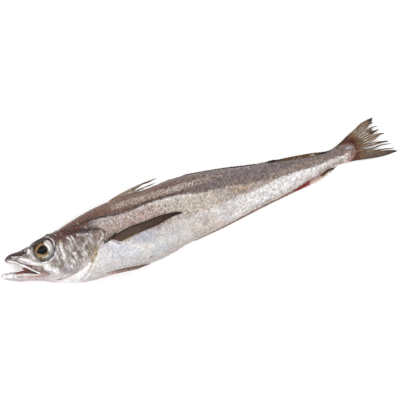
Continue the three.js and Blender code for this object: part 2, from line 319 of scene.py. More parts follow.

# Marks on the head and flank: bones, folds, stains and painted highlights, each a soft stroke at seen levels.
# The glint marks and many of the white marks are highlights painted where wet skin and bone catch the light.
# tone, strength, width in mm, how far it stands proud in mm, and where it runs
MARKS = [
    ("umber", 0.95, 2.6, 0, [
        (7.1, 8.9), (10.7, 10.1), (14.7, 10.8), (18.4, 10.4), (22.2, 10.4), (25.1, 11.9),
    ]),
    ("umber", 0.9, 1.6, 0, [(19.5, 8.7), (22.7, 8.6), (25.8, 10.6), (30, 12.9)]),
    ("umber", 0.85, 1.4, 0, [(10.2, 8.3), (12.9, 8.3)]),
    ("slate", 0.45, 1.4, 0, [(7.2, 8.4), (9.2, 8.9), (11.9, 9.5)]),
    ("maroon", 0.6, 2.2, 0, [(15.5, 10.6), (20, 10.2), (26, 11.6)]),
    ("white", 0.85, 1.1, 0.2, [(13.4, 9.1), (15.5, 8.2), (17.6, 8)]),
    ("lilac", 0.7, 2.2, 0, [(13.1, 7.2), (16.1, 6.5), (18.5, 5.5)]),
    ("white", 1, 1.2, 0.4, [(24.2, 10.7), (24.9, 10.8)]),
    ("rust", 0.7, 1.5, 0, [(21.9, 10.2), (23.2, 10.3)]),
    ("painted_glint", 0.95, 2.1, 0.2, [(27.8, 10.5), (26.5, 9), (27.4, 8.6)]),
    ("rust", 0.85, 1.5, 0, [(23.3, 7), (25.4, 7.5), (26.1, 6.2), (24.6, 5)]),
    ("umber", 0.7, 1.2, 0, [(21.6, 8.6), (23.1, 6.3), (25.3, 4.5)]),
    ("white", 0.9, 0.8, 0.2, [(20.2, 7.4), (20.5, 7.3)]),
    ("pearl", 0.9, 1.9, 0, [(31.6, 10.6), (30.8, 8), (31.4, 5)]),
    ("white", 0.9, 1.2, 0.25, [(28.6, 10), (28.7, 7), (29.6, 4.6), (30.5, 2)]),
    ("painted_glint", 0.85, 2.6, 0.2, [
        (19, 5.4), (21.6, 4.8), (24.1, 3.5), (26.4, 1.2), (28.5, -0.8), (31.8, -2.4), (36.7, -4.1),
        (40.7, -5.5),
    ]),
    ("lilac", 0.7, 1.6, 0, [(22.1, 2.2), (23.5, 1.4)]),
    ("umber", 0.6, 0.9, -0.2, [(27.1, 4.2), (29.3, 1.8), (31.4, 0.6), (34.6, -2.1)]),
    ("cream", 0.7, 1.6, 0, [(29.6, -0.9), (34.2, -3.6), (38, -4.5)]),
    ("olive", 0.5, 0.7, -0.1, [(35.2, -3), (38.9, -4.2), (40.9, -4.6)]),
    ("rust", 0.95, 1.5, -0.1, [
        (14.5, 5.5), (16.5, 4.2), (19.1, 2.2), (20.9, 0.9), (23.6, -0.8), (25.4, -2), (28.3, -3.2),
        (31.2, -4.5),
    ]),
    ("rust", 0.9, 2.6, 0.3, [(23.9, -1.8), (26, -3.6), (28.2, -5.5), (30.3, -7.3), (32.3, -9.6)]),
    ("pinkbrown", 0.8, 1.4, 0.3, [(28.9, -5), (31, -6.7), (33.2, -9.3)]),
    ("umber", 0.7, 0.9, -0.3, [
        (16.4, 3.9), (19.3, 1.1), (22.9, -1.4), (26, -3.7), (28.7, -6.4), (31.6, -9.4),
    ]),
    ("brown", 0.7, 2.2, 0, [(33, -5.7), (34.2, -8), (35, -9.8), (36.8, -11)]),
    ("rust", 0.95, 1.5, -0.1, [(36.7, -10.4), (38, -13.2)]),
    ("pinkbrown", 0.8, 3.2, 0, [(32.7, -11), (35.2, -13.5)]),
    ("painted_glint", 0.95, 1.25, 0.35, [
        (6.5, 7.8), (10.1, 6.4), (13.7, 4.8), (16.2, 3.2), (19.2, 0.6), (22.5, -2), (25.6, -4.9),
        (28.8, -8), (31.7, -10.8),
    ]),
    ("rust", 0.9, 1.4, 0, [
        (6.9, 6.6), (8.7, 5.5), (10.3, 4.2), (11.9, 3.5), (13.7, 3.1), (15.7, 1.7), (17.5, 0.4),
    ]),
    ("painted_glint", 1, 4.4, 0.2, [(0.6, -3.6), (5.5, -4.6), (10.1, -5.2)]),
    ("rust", 0.7, 0.8, 0, [(11.4, -4.5), (9.6, -6.7)]),
    ("lilac", 0.7, 0.7, 0, [(0.5, -1.8), (3, -2.2), (5.7, -2.8)]),
    ("pinkbrown", 0.8, 1.2, -0.1, [(12.8, -7.9), (16.3, -8.8), (21.2, -10.5), (26.2, -11.8), (33.5, -14.6)]),
    ("pink", 0.6, 1.2, 0, [(19.1, -8.6), (24.1, -10), (29, -11.8)]),
    ("pink", 0.5, 2.2, 0, [(22, -12), (29.7, -14.2), (36, -15.5)]),
    ("pinkbrown", 0.9, 2.0, 0, [(28, -11.6), (32, -12.8), (35, -13.6)]),
    ("white", 0.9, 1.0, 0.2, [(18.4, -7.2), (22, -8), (26.5, -9.3), (31.9, -10.9)]),
    ("lilac", 0.5, 2.4, 0, [(2.5, -6.8), (8.2, -8.9), (14.2, -11.1), (23.2, -13), (37, -17.3)]),
    ("white", 0.9, 1.0, 0.3, [(44.7, 15), (46.6, 15), (48.9, 12.7), (49.2, 10.1), (49, 7.5)]),
    ("white", 0.95, 1.7, 0.2, [(48.6, 2.5), (46.8, 0), (43.3, -2), (39.7, -3), (35.5, -2.6)]),
    ("umber", 0.85, 1.3, -0.2, [(50.6, 8.9), (50.2, 6.3)]),
    ("umber", 0.8, 2.0, 0, [(32.6, 11.4), (36, 14), (40.5, 15), (44, 14.8)]),
    ("white", 0.95, 1.4, 0.2, [(51, 6.6), (51.4, 3.8)]),
    ("brown", 0.6, 0.7, -0.1, [
        (52.8, 5), (52.8, -0.2), (53.1, -3.8), (51.4, -4.9), (47.3, -5), (42.9, -3.4),
    ]),
    ("lilac", 0.6, 2.4, 0, [(50.2, 2), (50.4, -0)]),
    ("painted_glint", 0.9, 2.9, 0.35, [(54.7, 7.6), (54.3, 4.8), (54.2, 1.6), (54.6, -1.6), (54.2, -3.6)]),
    ("paleochre", 0.9, 1.3, 0.1, [(55.3, 10.5), (54.4, 9.4)]),
    ("rust", 0.5, 3.2, 0, [(57.5, 10.6), (58.1, 7.4), (59, 5)]),
    ("rust", 0.6, 3.2, 0, [(54.7, 15), (57.7, 13.4), (60.4, 12)]),
    ("maroon", 0.9, 3.2, 0, [(51, 18.4), (55, 17.8), (59, 16.8)]),
    ("lilac", 0.5, 0.9, 0.1, [(56.5, 14.5), (57.6, 13.6)]),
    ("white", 0.3, 0.8, 0.1, [(51.8, 15.7), (53.4, 15.3)]),
    ("white", 0.8, 1.0, 0.1, [(61.5, 11), (61.7, 10.1)]),
    ("olive", 0.6, 1.8, 0, [(58.8, 0.7), (57.8, -1.7), (57.1, -3.8)]),
    ("rust", 0.7, 1.3, 0, [(61.6, -4), (61.8, -4.6)]),
    ("slate", 0.6, 1.9, 0, [(47.9, -10.9), (47.3, -10.2)]),
    ("blood", 0.95, 0.9, 0, [(52.2, -12.5), (52.5, -12.6)]),
    ("blood", 0.4, 0.9, 0, [(51, -13.7), (51.3, -14)]),
    ("painted_glint", 0.9, 5.0, 0.3, [(37.8, -7.5), (41.9, -10.2), (44.8, -12.1)]),
    ("white", 0.7, 1.2, 0.1, [(57.8, -11.5), (58, -13.5)]),
    ("umber", 0.9, 1.2, -0.3, [(76.4, 19), (81, 19.2), (85.6, 19.3), (88.3, 19.6), (92.9, 19.5), (96, 19)]),
    ("umber", 0.6, 1.2, 0, [(61.6, 18.3), (66.6, 18.8), (71.5, 18.9), (76.4, 18.8)]),
    # painted shadow under the top edge of the gill cover
    ("umber", 1, 3.4, -0.3, [
        (60.9, 14.6), (68.6, 14.2), (73.6, 13.3), (78.9, 12), (84, 11.4), (88.3, 9.6), (90.7, 7.1),
    ]),
    ("maroon", 0.8, 2.4, 0, [(59.5, 14.4), (64.4, 13), (68.1, 11.1)]),
    ("rust", 0.7, 1.5, 0, [(66.6, 15.5), (71.3, 15)]),
    ("rust", 0.7, 1.5, 0, [(74.4, 16.7), (77.1, 16.8), (78.1, 13.9)]),
    ("white", 0.3, 0.7, 0.1, [(72.3, 19.6), (73.2, 19)]),
    ("lilac", 0.5, 0.9, 0.1, [(74.2, 16.3), (75.4, 15.6)]),
    ("white", 0.55, 0.8, 0.1, [(77.4, 15.6), (78.9, 13.7)]),
    ("lilac", 0.25, 0.9, 0, [(64.6, 12.1), (66.5, 11.6), (69, 11.9)]),
    ("white", 0.3, 0.7, 0.1, [(61.2, 11.6), (62.4, 11.9)]),
    ("white", 0.6, 2.0, 0.2, [(69.6, 10.7), (72.3, 9.8), (74.4, 9.3)]),
    ("white", 0.55, 1.6, 0.2, [(76.4, 9.1), (78.5, 8.8), (80.9, 7)]),
    ("rust", 0.8, 2.2, 0, [(83.3, 9.4), (85.5, 8.4)]),
    ("white", 0.85, 1.1, 0.3, [(88.9, 8.7), (90.2, 5.6), (88.8, 3.1), (85.9, 1.1), (83.2, -1.3)]),
    ("ochrebrown", 0.9, 1.0, -0.2, [(88.6, 6.1), (86.3, 3.3), (83.6, 0.2), (81.2, -2.6)]),
    ("brown", 0.8, 0.8, -0.1, [(89.7, 9.3), (91.5, 6.6), (91.9, 4.5)]),
    ("lilac", 0.6, 1.2, 0.2, [(92.2, 6.3), (92, 3.8), (89.4, 0.7)]),
    ("brown", 0.6, 0.9, -0.1, [(88.7, 0.6), (85.1, -1.4)]),
    ("umber", 0.85, 1.0, -0.4, [(80.5, -2.8), (78.8, -5.2), (77.1, -7.6), (75.3, -10.3)]),
    ("ochre", 1, 2.3, 0, [(81.8, -3.4), (80.5, -6)]),
    ("ochre", 0.9, 2.2, 0, [(79, -8.4), (77, -10.6)]),
    ("ochre", 1, 1.8, 0, [(75.1, -12), (74.1, -13.6)]),
    ("paleochre", 0.8, 1.1, 0, [(76.6, -11.3), (74.6, -13.5)]),
    ("olive", 0.75, 1.6, -0.2, [(82.6, -3.8), (80.4, -7.8), (78, -10.9), (75.4, -13.6)]),
    ("cream", 0.7, 2.4, 0.4, [(81.4, -11), (78.2, -13.5), (75.3, -16.5), (72, -19.7), (68.5, -22.9)]),
    ("pinkbrown", 0.7, 0.9, -0.2, [(73.7, -14.4), (71.9, -17.1), (70, -19.1)]),
    ("painted_glint", 1, 2.6, 0.4, [(72.1, -14.4), (68.1, -16.8), (63.6, -18.9), (59.5, -20.3)]),
    ("pinkbrown", 0.8, 0.7, -0.2, [(70.6, -14.7), (67, -16), (64.1, -17)]),
    ("cream", 0.9, 1.9, 0.2, [(69.1, -9.1), (68.5, -12.1), (66, -14), (63.1, -16)]),
    ("white", 0.75, 1.1, 0.25, [(76.3, 3.7), (73.1, 1.8), (71.7, -0.7), (71.8, -3.4), (72.7, -6.9)]),
    ("pearl", 0.5, 1.6, 0, [(76.5, 7), (79, 4.5), (80.5, 1.5)]),
    ("white", 0.8, 1.5, 0.2, [(64.8, 11), (65.8, 7.6), (66.3, 5.2)]),
    ("white", 0.6, 1.1, 0.2, [(66.6, 3.8), (67.4, 0.8), (67.2, -1)]),
    ("white", 0.7, 1.2, 0.15, [(61.6, 10.9), (63.2, 8.7), (63.3, 6.7)]),
    ("pearl", 0.7, 1.6, 0.1, [(60.5, 4.6), (61, 1.6), (60.4, -1.2)]),
    ("lilac", 0.5, 2.0, 0, [(70, 6.6), (70.6, 3), (70, 0)]),
    ("ochrebrown", 0.7, 0.8, -0.1, [(67, 6.3), (68.2, 0.7), (69, -2.2)]),
    ("brown", 0.9, 0.8, 0, [(69.1, -3.2), (69.3, -3.8)]),
    ("white", 0.8, 1.2, 0.15, [(62.5, -2.1), (64.4, -3.4)]),
    ("rust", 0.7, 1.2, 0, [(61.4, -4.1), (62.1, -4.8)]),
    ("white", 0.85, 1.1, 0.15, [(60.6, -7.1), (61.3, -10.2)]),
    ("white", 0.8, 1.2, 0.15, [(57.9, -11.8), (58, -13.1)]),
    ("lilac", 0.6, 2.4, 0, [(58.1, 7), (59.1, 3.8)]),
    ("olive", 0.5, 2.0, 0, [(58.7, 1), (58.4, -1.5)]),
    ("white", 0.8, 0.7, 0.1, [(74.1, -3.6), (74.2, -4)]),
    ("olive", 0.6, 1.2, 0, [(74.2, 6.3), (74.2, 5.3)]),
    ("brown", 0.7, 0.8, -0.25, [
        (43.4, -19.4), (54, -19.5), (61.2, -16.9), (66, -14.2), (68.6, -12), (70.4, -8.6),
    ]),
    ("slate", 0.55, 0.8, -0.25, [(60, -25.4), (68.5, -21), (73.4, -16.2), (76.2, -12.4)]),
    ("lilac", 0.5, 3.0, 0, [(55.8, -16.4), (59.9, -15.7)]),
    ("umber", 1, 1.9, -0.3, [(89.6, -0.4), (95.3, 1.1), (99.9, 2.6)]),
    ("olive", 0.6, 1.5, 0, [(93.3, 3.7), (99.2, 4.7)]),
    ("white", 0.9, 1.8, 0.5, [(92.4, -1.6), (95.4, -4), (98.6, -7.6)]),
    ("lilac", 0.55, 1.8, -0.3, [(94.8, -0.9), (98, -3.8), (100.6, -6.4)]),
    ("pinkbrown", 0.5, 2.2, 0, [(96.6, -1.6), (100.2, -3.7)]),
    ("ochre", 0.35, 2.4, 0, [(99.7, -5.4), (106.9, -4.8), (113.1, -5.2)]),
    ("blue", 0.35, 4.5, 0, [(124.4, -10.1), (116.3, -13.3)]),
    ("lilac", 0.15, 3.0, 0, [(85.6, -12.3), (86.6, -23.1)]),
    ("pinkish", 0.4, 3.0, 0, [(117.9, 8.1), (124.7, 9.6), (131.8, 9.5)]),
    ("orange", 0.55, 1.6, 0, [(186.3, -10.7), (187, -13.1)]),
    ("orange", 0.35, 2.6, 0, [(178.9, -14.1), (183.3, -13.4)]),
    ("brown", 0.25, 3.6, 0, [(174.4, -5.7), (172.2, -10.6)]),
    ("umber", 0.9, 0.8, 0, [(121.4, -23.3), (122.2, -23.9)]),
    ("cream", 0.35, 3.4, 0, [(72, -4), (70.5, -9.5), (68, -14)]),
    ("bark", 0.45, 3.0, 0, [(91, 1.8), (96, 3.8), (101, 5)]),
    # the trunk
    # painted highlights: white on the silver under the lateral line
    ("white", 0.3, 4.0, 0, [(138, 16.6), (150, 16.8), (166, 15.2)]),
    ("gum", 0.6, 1.8, 0.2, [(140, -26), (145, -24.9), (149.5, -23.6)]),
    ("olive", 0.2, 9.0, 0, [(156, 9.5), (174, 8)]),
    ("orange", 0.35, 5.0, 0, [(202, 9), (208, 8.5), (213, 6)]),
    ("orange", 0.5, 1.4, 0, [(204.5, 7), (206, 6)]),
    ("white", 0.5, 3.0, 0, [(214, 2), (226, 0.5)]),
    ("orange", 0.5, 1.6, 0, [(232.5, -1), (233.3, -1.2)]),
    ("tawny", 0.5, 2.2, 0, [(257.5, 10.1), (262.5, 10.8)]),
    ("tawny", 0.4, 1.8, 0, [(225, 11.5), (227.5, 11.7)]),
    ("olive", 0.5, 2.6, 0, [(220.5, -9.8), (226.5, -8)]),
    ("sand", 0.7, 4.0, 0, [(191.5, -8.8), (196, -7.2)]),
    # the root of the tail
    ("rust", 0.85, 3.4, 0, [(296.5, 19.4), (301, 18.7), (304.6, 16.6), (306.4, 14)]),
    ("rust", 0.85, 4.4, 0, [(306, 13), (305.4, 9.4), (303.4, 6)]),
    ("pinkbrown", 0.7, 3.4, 0, [(304.4, 6.4), (301, 5), (297.6, 4.2)]),
    ("blue", 0.5, 2.8, 0, [(299.5, 14.6), (304, 13.8)]),
    # painted highlights on the silver at the root of the tail
    ("white", 0.5, 1.3, 0, [(291, 9.2), (295.5, 8.2), (299, 10)]),
    ("white", 0.4, 1.2, 0, [(297, 6.8), (300.5, 8.6)]),
    ("rust", 0.45, 4.0, 0, [(303.5, 9.5), (302, 6.5), (299.5, 5)]),
]
BIN = 4.0  # mm of the fish's length in one bin of marks
NARROWEST_MARK = 1.1  # mm: a narrower one would fall between the points of the mesh
SOFT_SPREAD = 1.4  # how much wider than its core a mark fades out


def binned_marks():
    """Every mark's curve, listed for each stretch of the fish that it may touch."""
    bins = {}
    for name, strength, width, raised, points in MARKS:
        route = Route(points, 3)
        reach = max(width, NARROWEST_MARK) / 2 * SOFT_SPREAD
        entry = (route, reach, name, strength, raised)
        for number in range(int((route.box[0] - reach) // BIN), int((route.box[1] + reach) // BIN) + 1):
            bins.setdefault(number, []).append(entry)
    return bins


marks_in = binned_marks()


def marks_at(along, seen, out):
    """The marks that touch a place, each as (tone, how much, how proud)."""
    found = []
    stray = mix(0.4, 0.9, ease(along, 286, 294))
    x = along + stray * wobble(along, seen, out, 2.6, 1.7)
    y = seen + stray * wobble(along, seen, out, 2.6, 5.3)
    uneven = 0.8 + 0.75 * wobble(along, seen, out, 1.7, 3.1)
    ragged = 1 + 0.45 * wobble(along, seen, out, 2.3, 8.6)
    for route, reach, name, strength, raised in marks_in.get(int(along // BIN), ()):
        far = abs(route.distance(x, y, reach)) * ragged
        if far < reach:
            amount = ease(far, reach, reach * 0.2)
            found.append((name, min(max(strength * uneven, 0.0), 1.0) * amount, raised * amount))
    return found


# ---- The skin: one closed surface from the throat, round the lips, to the root of the tail ----

COLUMNS = 208  # round the body, more of them on the left flank, which has the finer marks
LEFT_COLUMNS = 132
THROAT_ROWS = 24
HEAD_ROWS = 112
CHEEK_ROWS = 100
TRUNK_ROWS = 186
SKIN_ROWS = THROAT_ROWS + HEAD_ROWS + CHEEK_ROWS + TRUNK_ROWS
LIP_THICKNESS = 1.1  # mm
THROAT = (47.0, -9.6)  # where the mouth's lining closes
SEAM_GAP = 0.000001  # metres: the seam's points fall in one place, and nothing else lies this close


def oval(top, under, width, turn):
    """A point of one oval section: turn is 90 degrees at the back, 0 at the flank and -90 at the belly."""
    level, reach = (top + under) / 2, (top - under) / 2
    s, c = math.sin(turn), max(math.cos(turn), 0.0)
    up = level + math.copysign(reach * abs(s) ** (2 / SECTION_POWER), s)
    return up, width * c ** (2 / SECTION_POWER)


def turn_at(top, under, up):
    """The turn at which an oval section reaches a level."""
    level, reach = (top + under) / 2, (top - under) / 2
    share = min(max((up - level) / reach, -1.0), 1.0)
    return math.asin(math.copysign(abs(share) ** (SECTION_POWER / 2), share))


def flank_out(along, up):
    """How far out the flank's surface is at a place on the head or trunk."""
    top, under = back_line(along), belly_line(along)
    return oval(top, under, half_width(along), turn_at(top, under, up))[1]


def jaw_section(along, upper):
    """The top, underside, half width and lip level of the section that holds one jaw's side."""
    if along < MOUTH_CORNER and not upper:
        return jaw_top(along), jaw_under(along), jaw_half_width(along), lower_lip(along)
    lip = upper_lip if along < MOUTH_CORNER else cheek_level
    return back_line(along), belly_line(along), half_width(along), lip(along)


def head_relief(along, up, out, seen, gill, fold):
    """How far the bones and folds of the head stand proud of the plain oval, in millimetres."""
    behind_eye = ease(along, 50, 60)
    proud = 0.0
    if gill < FAR_OFF:
        cover = ease(gill, 0.5, -0.5)
        proud += behind_eye * cover * (0.9 * ease(gill, -14, -2) + 0.3 * ease(abs(gill + 2.2), 1.2, 0.3))
        proud -= behind_eye * 0.7 * ease(abs(gill - 1.0), 1.5, 0.2)
    if fold < FAR_OFF:
        proud += 0.6 * band(fold, -9, -2, -0.4, 0.4) * ease(along, 48, 56)
    from_eye = math.hypot(along - EYE_SEEN.x, seen - EYE_SEEN.y)
    proud -= 3.4 * ease(from_eye, EYE_RADIUS + 0.3, EYE_RADIUS - 0.9) * ease(abs(out), 4.5, 7.0)
    # the brow that roofs the socket
    over_eye = ease(abs(along - EYE_SEEN.x), 12, 5)
    proud += 1.2 * over_eye * ease(abs(abs(out) - 5.0), 2.6, 0.8) * ease(up, 8, 12)
    proud += 0.45 * ease(abs(from_eye - EYE_RADIUS - 0.9), 1.3, 0.0)
    # the thin bones of the cheek, a little uneven under the skin
    cheek = ease(from_eye, 10, 13) * band(along, 20, 34, 80, 92) * ease(seen, 15, 10)
    proud += cheek * (0.35 * wobble(along, up, out, 5.0, 7.7) + 0.22 * wobble(along, up, out, 2.2, 2.9))
    # the crown: a ridge each side of a shallow hollow
    crown = ease(up, back_line(along) - 5, back_line(along) - 1) * band(along, 14, 24, 70, 96)
    proud += crown * 0.5 * (ease(abs(abs(out) - 4.5), 2.5, 0.3) - 0.6 * ease(abs(out), 3, 0.5))
    nostril = math.hypot(along - NOSTRIL_SEEN.x, seen - NOSTRIL_SEEN.y)
    proud += 0.6 * ease(abs(nostril - 1.6), 1.2, 0.0) - 0.8 * ease(nostril, 1.3, 0.2)
    if along < MOUTH_CORNER:
        proud += 0.3 * ease(abs(up - upper_lip(along) - 0.6), 1.0, 0.2)
    return proud


def trunk_relief(along, up, out):
    """How far the trunk's skin stands proud of the plain oval: lateral line, muscle and soft belly."""
    from_line = abs(up - lateral_line(along))
    proud = -0.22 * ease(from_line, 1.3, 0.2) * band(along, 66, 80, 270, 300)
    proud += 0.08 * math.sin((along + 0.7 * from_line) * 0.9) * band(along, 96, 120, 280, 300)
    proud += 0.45 * wobble(along, up, out, 26.0, 1.3) * band(along, 84, 110, 240, 285)
    return proud + 0.14 * wobble(along, up, out, 7.0, 5.9) + 0.07 * wobble(along, up, out, 2.4, 8.2)


def outer_place(along, turn, upper, side):
    """A place on the plain oval, and the way out there, which fades where the fish is too thin for relief."""
    top, under, width, _ = jaw_section(along, upper)
    up, out = oval(top, under, width, turn)
    level, reach = (top + under) / 2, max((top - under) / 2, 0.4)
    way = Vector(((up - level) / reach ** 2, out / max(width, 0.4) ** 2))
    way.normalize()
    way *= ease(min(reach, width), 0.6, 3.0)
    return (along, up, side * out), (way.x, side * way.y), 0.0


def mouth_place(deep, around, upper, side):
    """A place in the mouth's lining: deep is 0 at the lip and 1 at the throat."""
    start = SNOUT if upper else CHIN
    lip_along = mix(start, MOUTH_CORNER, around ** 1.5)
    top, under, width, lip = jaw_section(min(lip_along, MOUTH_CORNER - 0.01), upper)
    lip_up, lip_out = oval(top, under, width, turn_at(top, under, lip))
    inset = ease(deep, 0, 0.12)
    wall = LIP_THICKNESS * inset * ease(lip_out, 0.2, 2.0)
    lift = 1.0 if upper else -1.0
    vault = math.sin(math.pi * min(deep * 1.15, 1.0)) * (3.2 if upper else 2.4)
    shut = ease(deep, 0.12, 1.0)
    along = mix(lip_along + wall * (1 - around), THROAT[0], shut * 0.98 + deep * 0.02)
    up = mix(lip_up, THROAT[1], shut) + lift * vault * (1 - around ** 3)
    out = side * max(lip_out - wall, 0.0) * (1 - shut)
    return (along, up, out), (0.0, 0.0), max(deep, 0.001)


def skin_place(column, row):
    """A grid place on the straight fish's plain skin, the way out there, and how deep it is in the mouth."""
    left = LEFT_COLUMNS / COLUMNS
    side = 1 if column <= left + 1e-6 else -1
    around = column / left if side > 0 else (1 - column) / (1 - left)
    upper = around <= 0.5
    share = min(max(around * 2 if upper else (1 - around) * 2, 0.0), 1.0)
    at = row * SKIN_ROWS
    if at < THROAT_ROWS - 1e-6:
        return mouth_place(1 - at / THROAT_ROWS, share, upper, side)
    at -= THROAT_ROWS
    if at <= HEAD_ROWS:
        back = max(at, 0.0) / HEAD_ROWS
        lip_along = mix(SNOUT if upper else CHIN, MOUTH_CORNER, share ** 1.5)
        along = mix(lip_along, HEAD_END, back ** 1.15)
        spread = 1 - (1 - share) * (back ** (1.1 * share) if back or share else 1.0)
    else:
        at -= HEAD_ROWS
        along = mix(HEAD_END, CHEEK_END, min(at / CHEEK_ROWS, 1.0))
        along += (TAIL_ROOT - CHEEK_END) * max(at - CHEEK_ROWS, 0.0) / TRUNK_ROWS
        spread = share
    top, under, _, lip = jaw_section(along, upper)
    turn = mix(math.pi / 2 if upper else -math.pi / 2, turn_at(top, under, lip), spread)
    return outer_place(along, turn, upper, side)


def new_object(bm, name, material):
    """The object of a finished bmesh."""
    mesh = bpy.data.meshes.new(name)
    bm.to_mesh(mesh)
    bm.free()
    mesh.materials.append(material)
    made = bpy.data.objects.new(name, mesh)
    bpy.context.scene.collection.objects.link(made)
    return made


def finish_piece(bm, name, material):
    """Makes a piece of the fish, which rides on it, in the fish's own place."""
    piece = new_object(bm, name, material)
    piece.data.shade_smooth()
    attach(piece, "root")
    return piece


def finish_closed_piece(bm, name, material):
    """Makes a piece that is closed all round, with its faces turned outwards."""
    bm.normal_update()
    bmesh.ops.recalc_face_normals(bm, faces=bm.faces)
    return finish_piece(bm, name, material)


# ---- Materials ----

# The colour sockets of a Mix node: its two inputs, and its output.
MIX_A, MIX_B, MIXED = 6, 7, 2


def feed(tree, node, inputs):
    """Gives a node's inputs their values, or links them to the sockets that feed them."""
    for key, value in inputs.items():
        if isinstance(value, bpy.types.NodeSocket):
            tree.links.new(value, node.inputs[key])
        else:
            node.inputs[key].default_value = value


def add(tree, kind, inputs=None, output=0, **settings):
    """Adds one shader node with its inputs and its own settings, and gives back one of its output sockets."""
    node = tree.nodes.new("ShaderNode" + kind)
    for name, value in settings.items():
        setattr(node, name, value)
    feed(tree, node, inputs or {})
    return node.outputs[output]


def new_material(name):
    """A material with only its shader and output, the node tree that holds them, and the shader."""
    material = bpy.data.materials.new(name)
    material.use_nodes = True
    tree = material.node_tree
    tree.nodes.clear()
    shaded = add(tree, "BsdfPrincipled")
    output = tree.nodes.new("ShaderNodeOutputMaterial")
    feed(tree, output, {"Surface": shaded})
    return material, tree, shaded.node


def skin_material():
    """Wet scaled skin: each scale is a small mirror under clear slime, so that neighbours differ, and the
    scales taken to catch the light are painted white as highlights."""
    material, tree, shader = new_material("wet_scaled_skin")
    painted = add(tree, "Attribute", output="Color", attribute_name="tone")
    scaly = add(tree, "Attribute", output="Fac", attribute_name="scaly")
    painted_sparkle = add(tree, "Attribute", output="Fac", attribute_name="painted_sparkle")
    speckled = add(tree, "Attribute", output="Fac", attribute_name="speckled")
    rows = add(tree, "Attribute", output="Vector", attribute_name="scale_rows")

    # one cell of this pattern is one scale
    scales = add(tree, "TexVoronoi", {"Vector": rows, "Scale": 1.0, "Randomness": 0.9}).node
    tints = add(tree, "SeparateColor", {0: scales.outputs["Color"]}).node
    swing = add(tree, "MapRange", {"Value": tints.outputs[0], "To Min": -0.5, "To Max": 0.5})
    gain = add(tree, "Math", {0: swing, 1: scaly, 2: 1.0}, operation="MULTIPLY_ADD")
    colour = add(tree, "VectorMath", {0: painted, "Scale": gain}, operation="SCALE")
    # each scale is a little warmer or cooler than the next
    warm, cool = (1.04, 1.0, 0.95, 1.0), (0.96, 1.0, 1.06, 1.0)
    shift = add(tree, "Mix", {0: tints.outputs[2], MIX_A: warm, MIX_B: cool}, MIXED, data_type="RGBA")
    colour = add(tree, "VectorMath", {0: colour, 1: shift}, operation="MULTIPLY")

    # painted highlights: the scales taken to be tipped to the light are painted white
    painted_flash = add(tree, "MapRange", {"Value": tints.outputs[1], "From Min": 0.6, "From Max": 0.95})
    painted_flash = add(tree, "Math", {0: painted_flash, 1: painted_sparkle}, operation="MULTIPLY", use_clamp=True)
    shine = rgb("#fffdfb")
    colour = add(tree, "Mix", {0: painted_flash, MIX_A: colour, MIX_B: shine}, MIXED, data_type="RGBA")

    # brown pigment dots, drawn about as large as a scale so that they show
    fine = add(tree, "TexNoise", {"Vector": rows, "Scale": 0.85, "Detail": 2.0, "Roughness": 0.6})
    dots = add(tree, "MapRange", {"Value": fine, "From Min": 0.52, "From Max": 0.6})
    dots = add(tree, "Math", {0: dots, 1: speckled}, operation="MULTIPLY", use_clamp=True)
    pigment = rgb("#3c2a25")
    colour = add(tree, "Mix", {0: dots, MIX_A: colour, MIX_B: pigment}, MIXED, data_type="RGBA")

    # slime lies unevenly, so the skin shines in patches
    rough = add(tree, "MapRange", {
        "Value": fine, "From Min": 0.3, "From Max": 0.7, "To Min": 0.34, "To Max": 0.54,
    })
    # raised scales, and finer unevenness on them
    bump = add(tree, "Bump", {"Strength": 0.5, "Distance": 0.0002, "Height": scales.outputs["Distance"]})
    bump = add(tree, "Bump", {"Strength": 0.5, "Distance": 0.0003, "Height": fine, "Normal": bump})
    feed(tree, shader, {
        "Base Color": colour, "Roughness": rough, "Normal": bump,
        "Coat Weight": 0.12, "Coat Roughness": 0.12, "IOR": 1.3,
    })
    return material


def eye_material():
    """A fish's eye: painted iris and pupil under a moist cornea, which shines only a little."""
    material, tree, shader = new_material("wet_eye")
    painted = add(tree, "Attribute", output="Color", attribute_name="tone")
    place = add(tree, "TexCoord", output="Object")
    # fine grain of the iris, about 0.5 mm
    grain = add(tree, "TexNoise", {"Vector": place, "Scale": 1 / (0.5 * MM), "Detail": 2.0})
    gain = add(tree, "MapRange", {
        "Value": grain, "From Min": 0.3, "From Max": 0.7, "To Min": 0.88, "To Max": 1.12,
    })
    colour = add(tree, "VectorMath", {0: painted, "Scale": gain}, operation="SCALE")
    feed(tree, shader, {
        "Base Color": colour, "Roughness": 0.5, "Coat Weight": 0.1, "Coat Roughness": 0.03, "IOR": 1.15,
    })
    return material


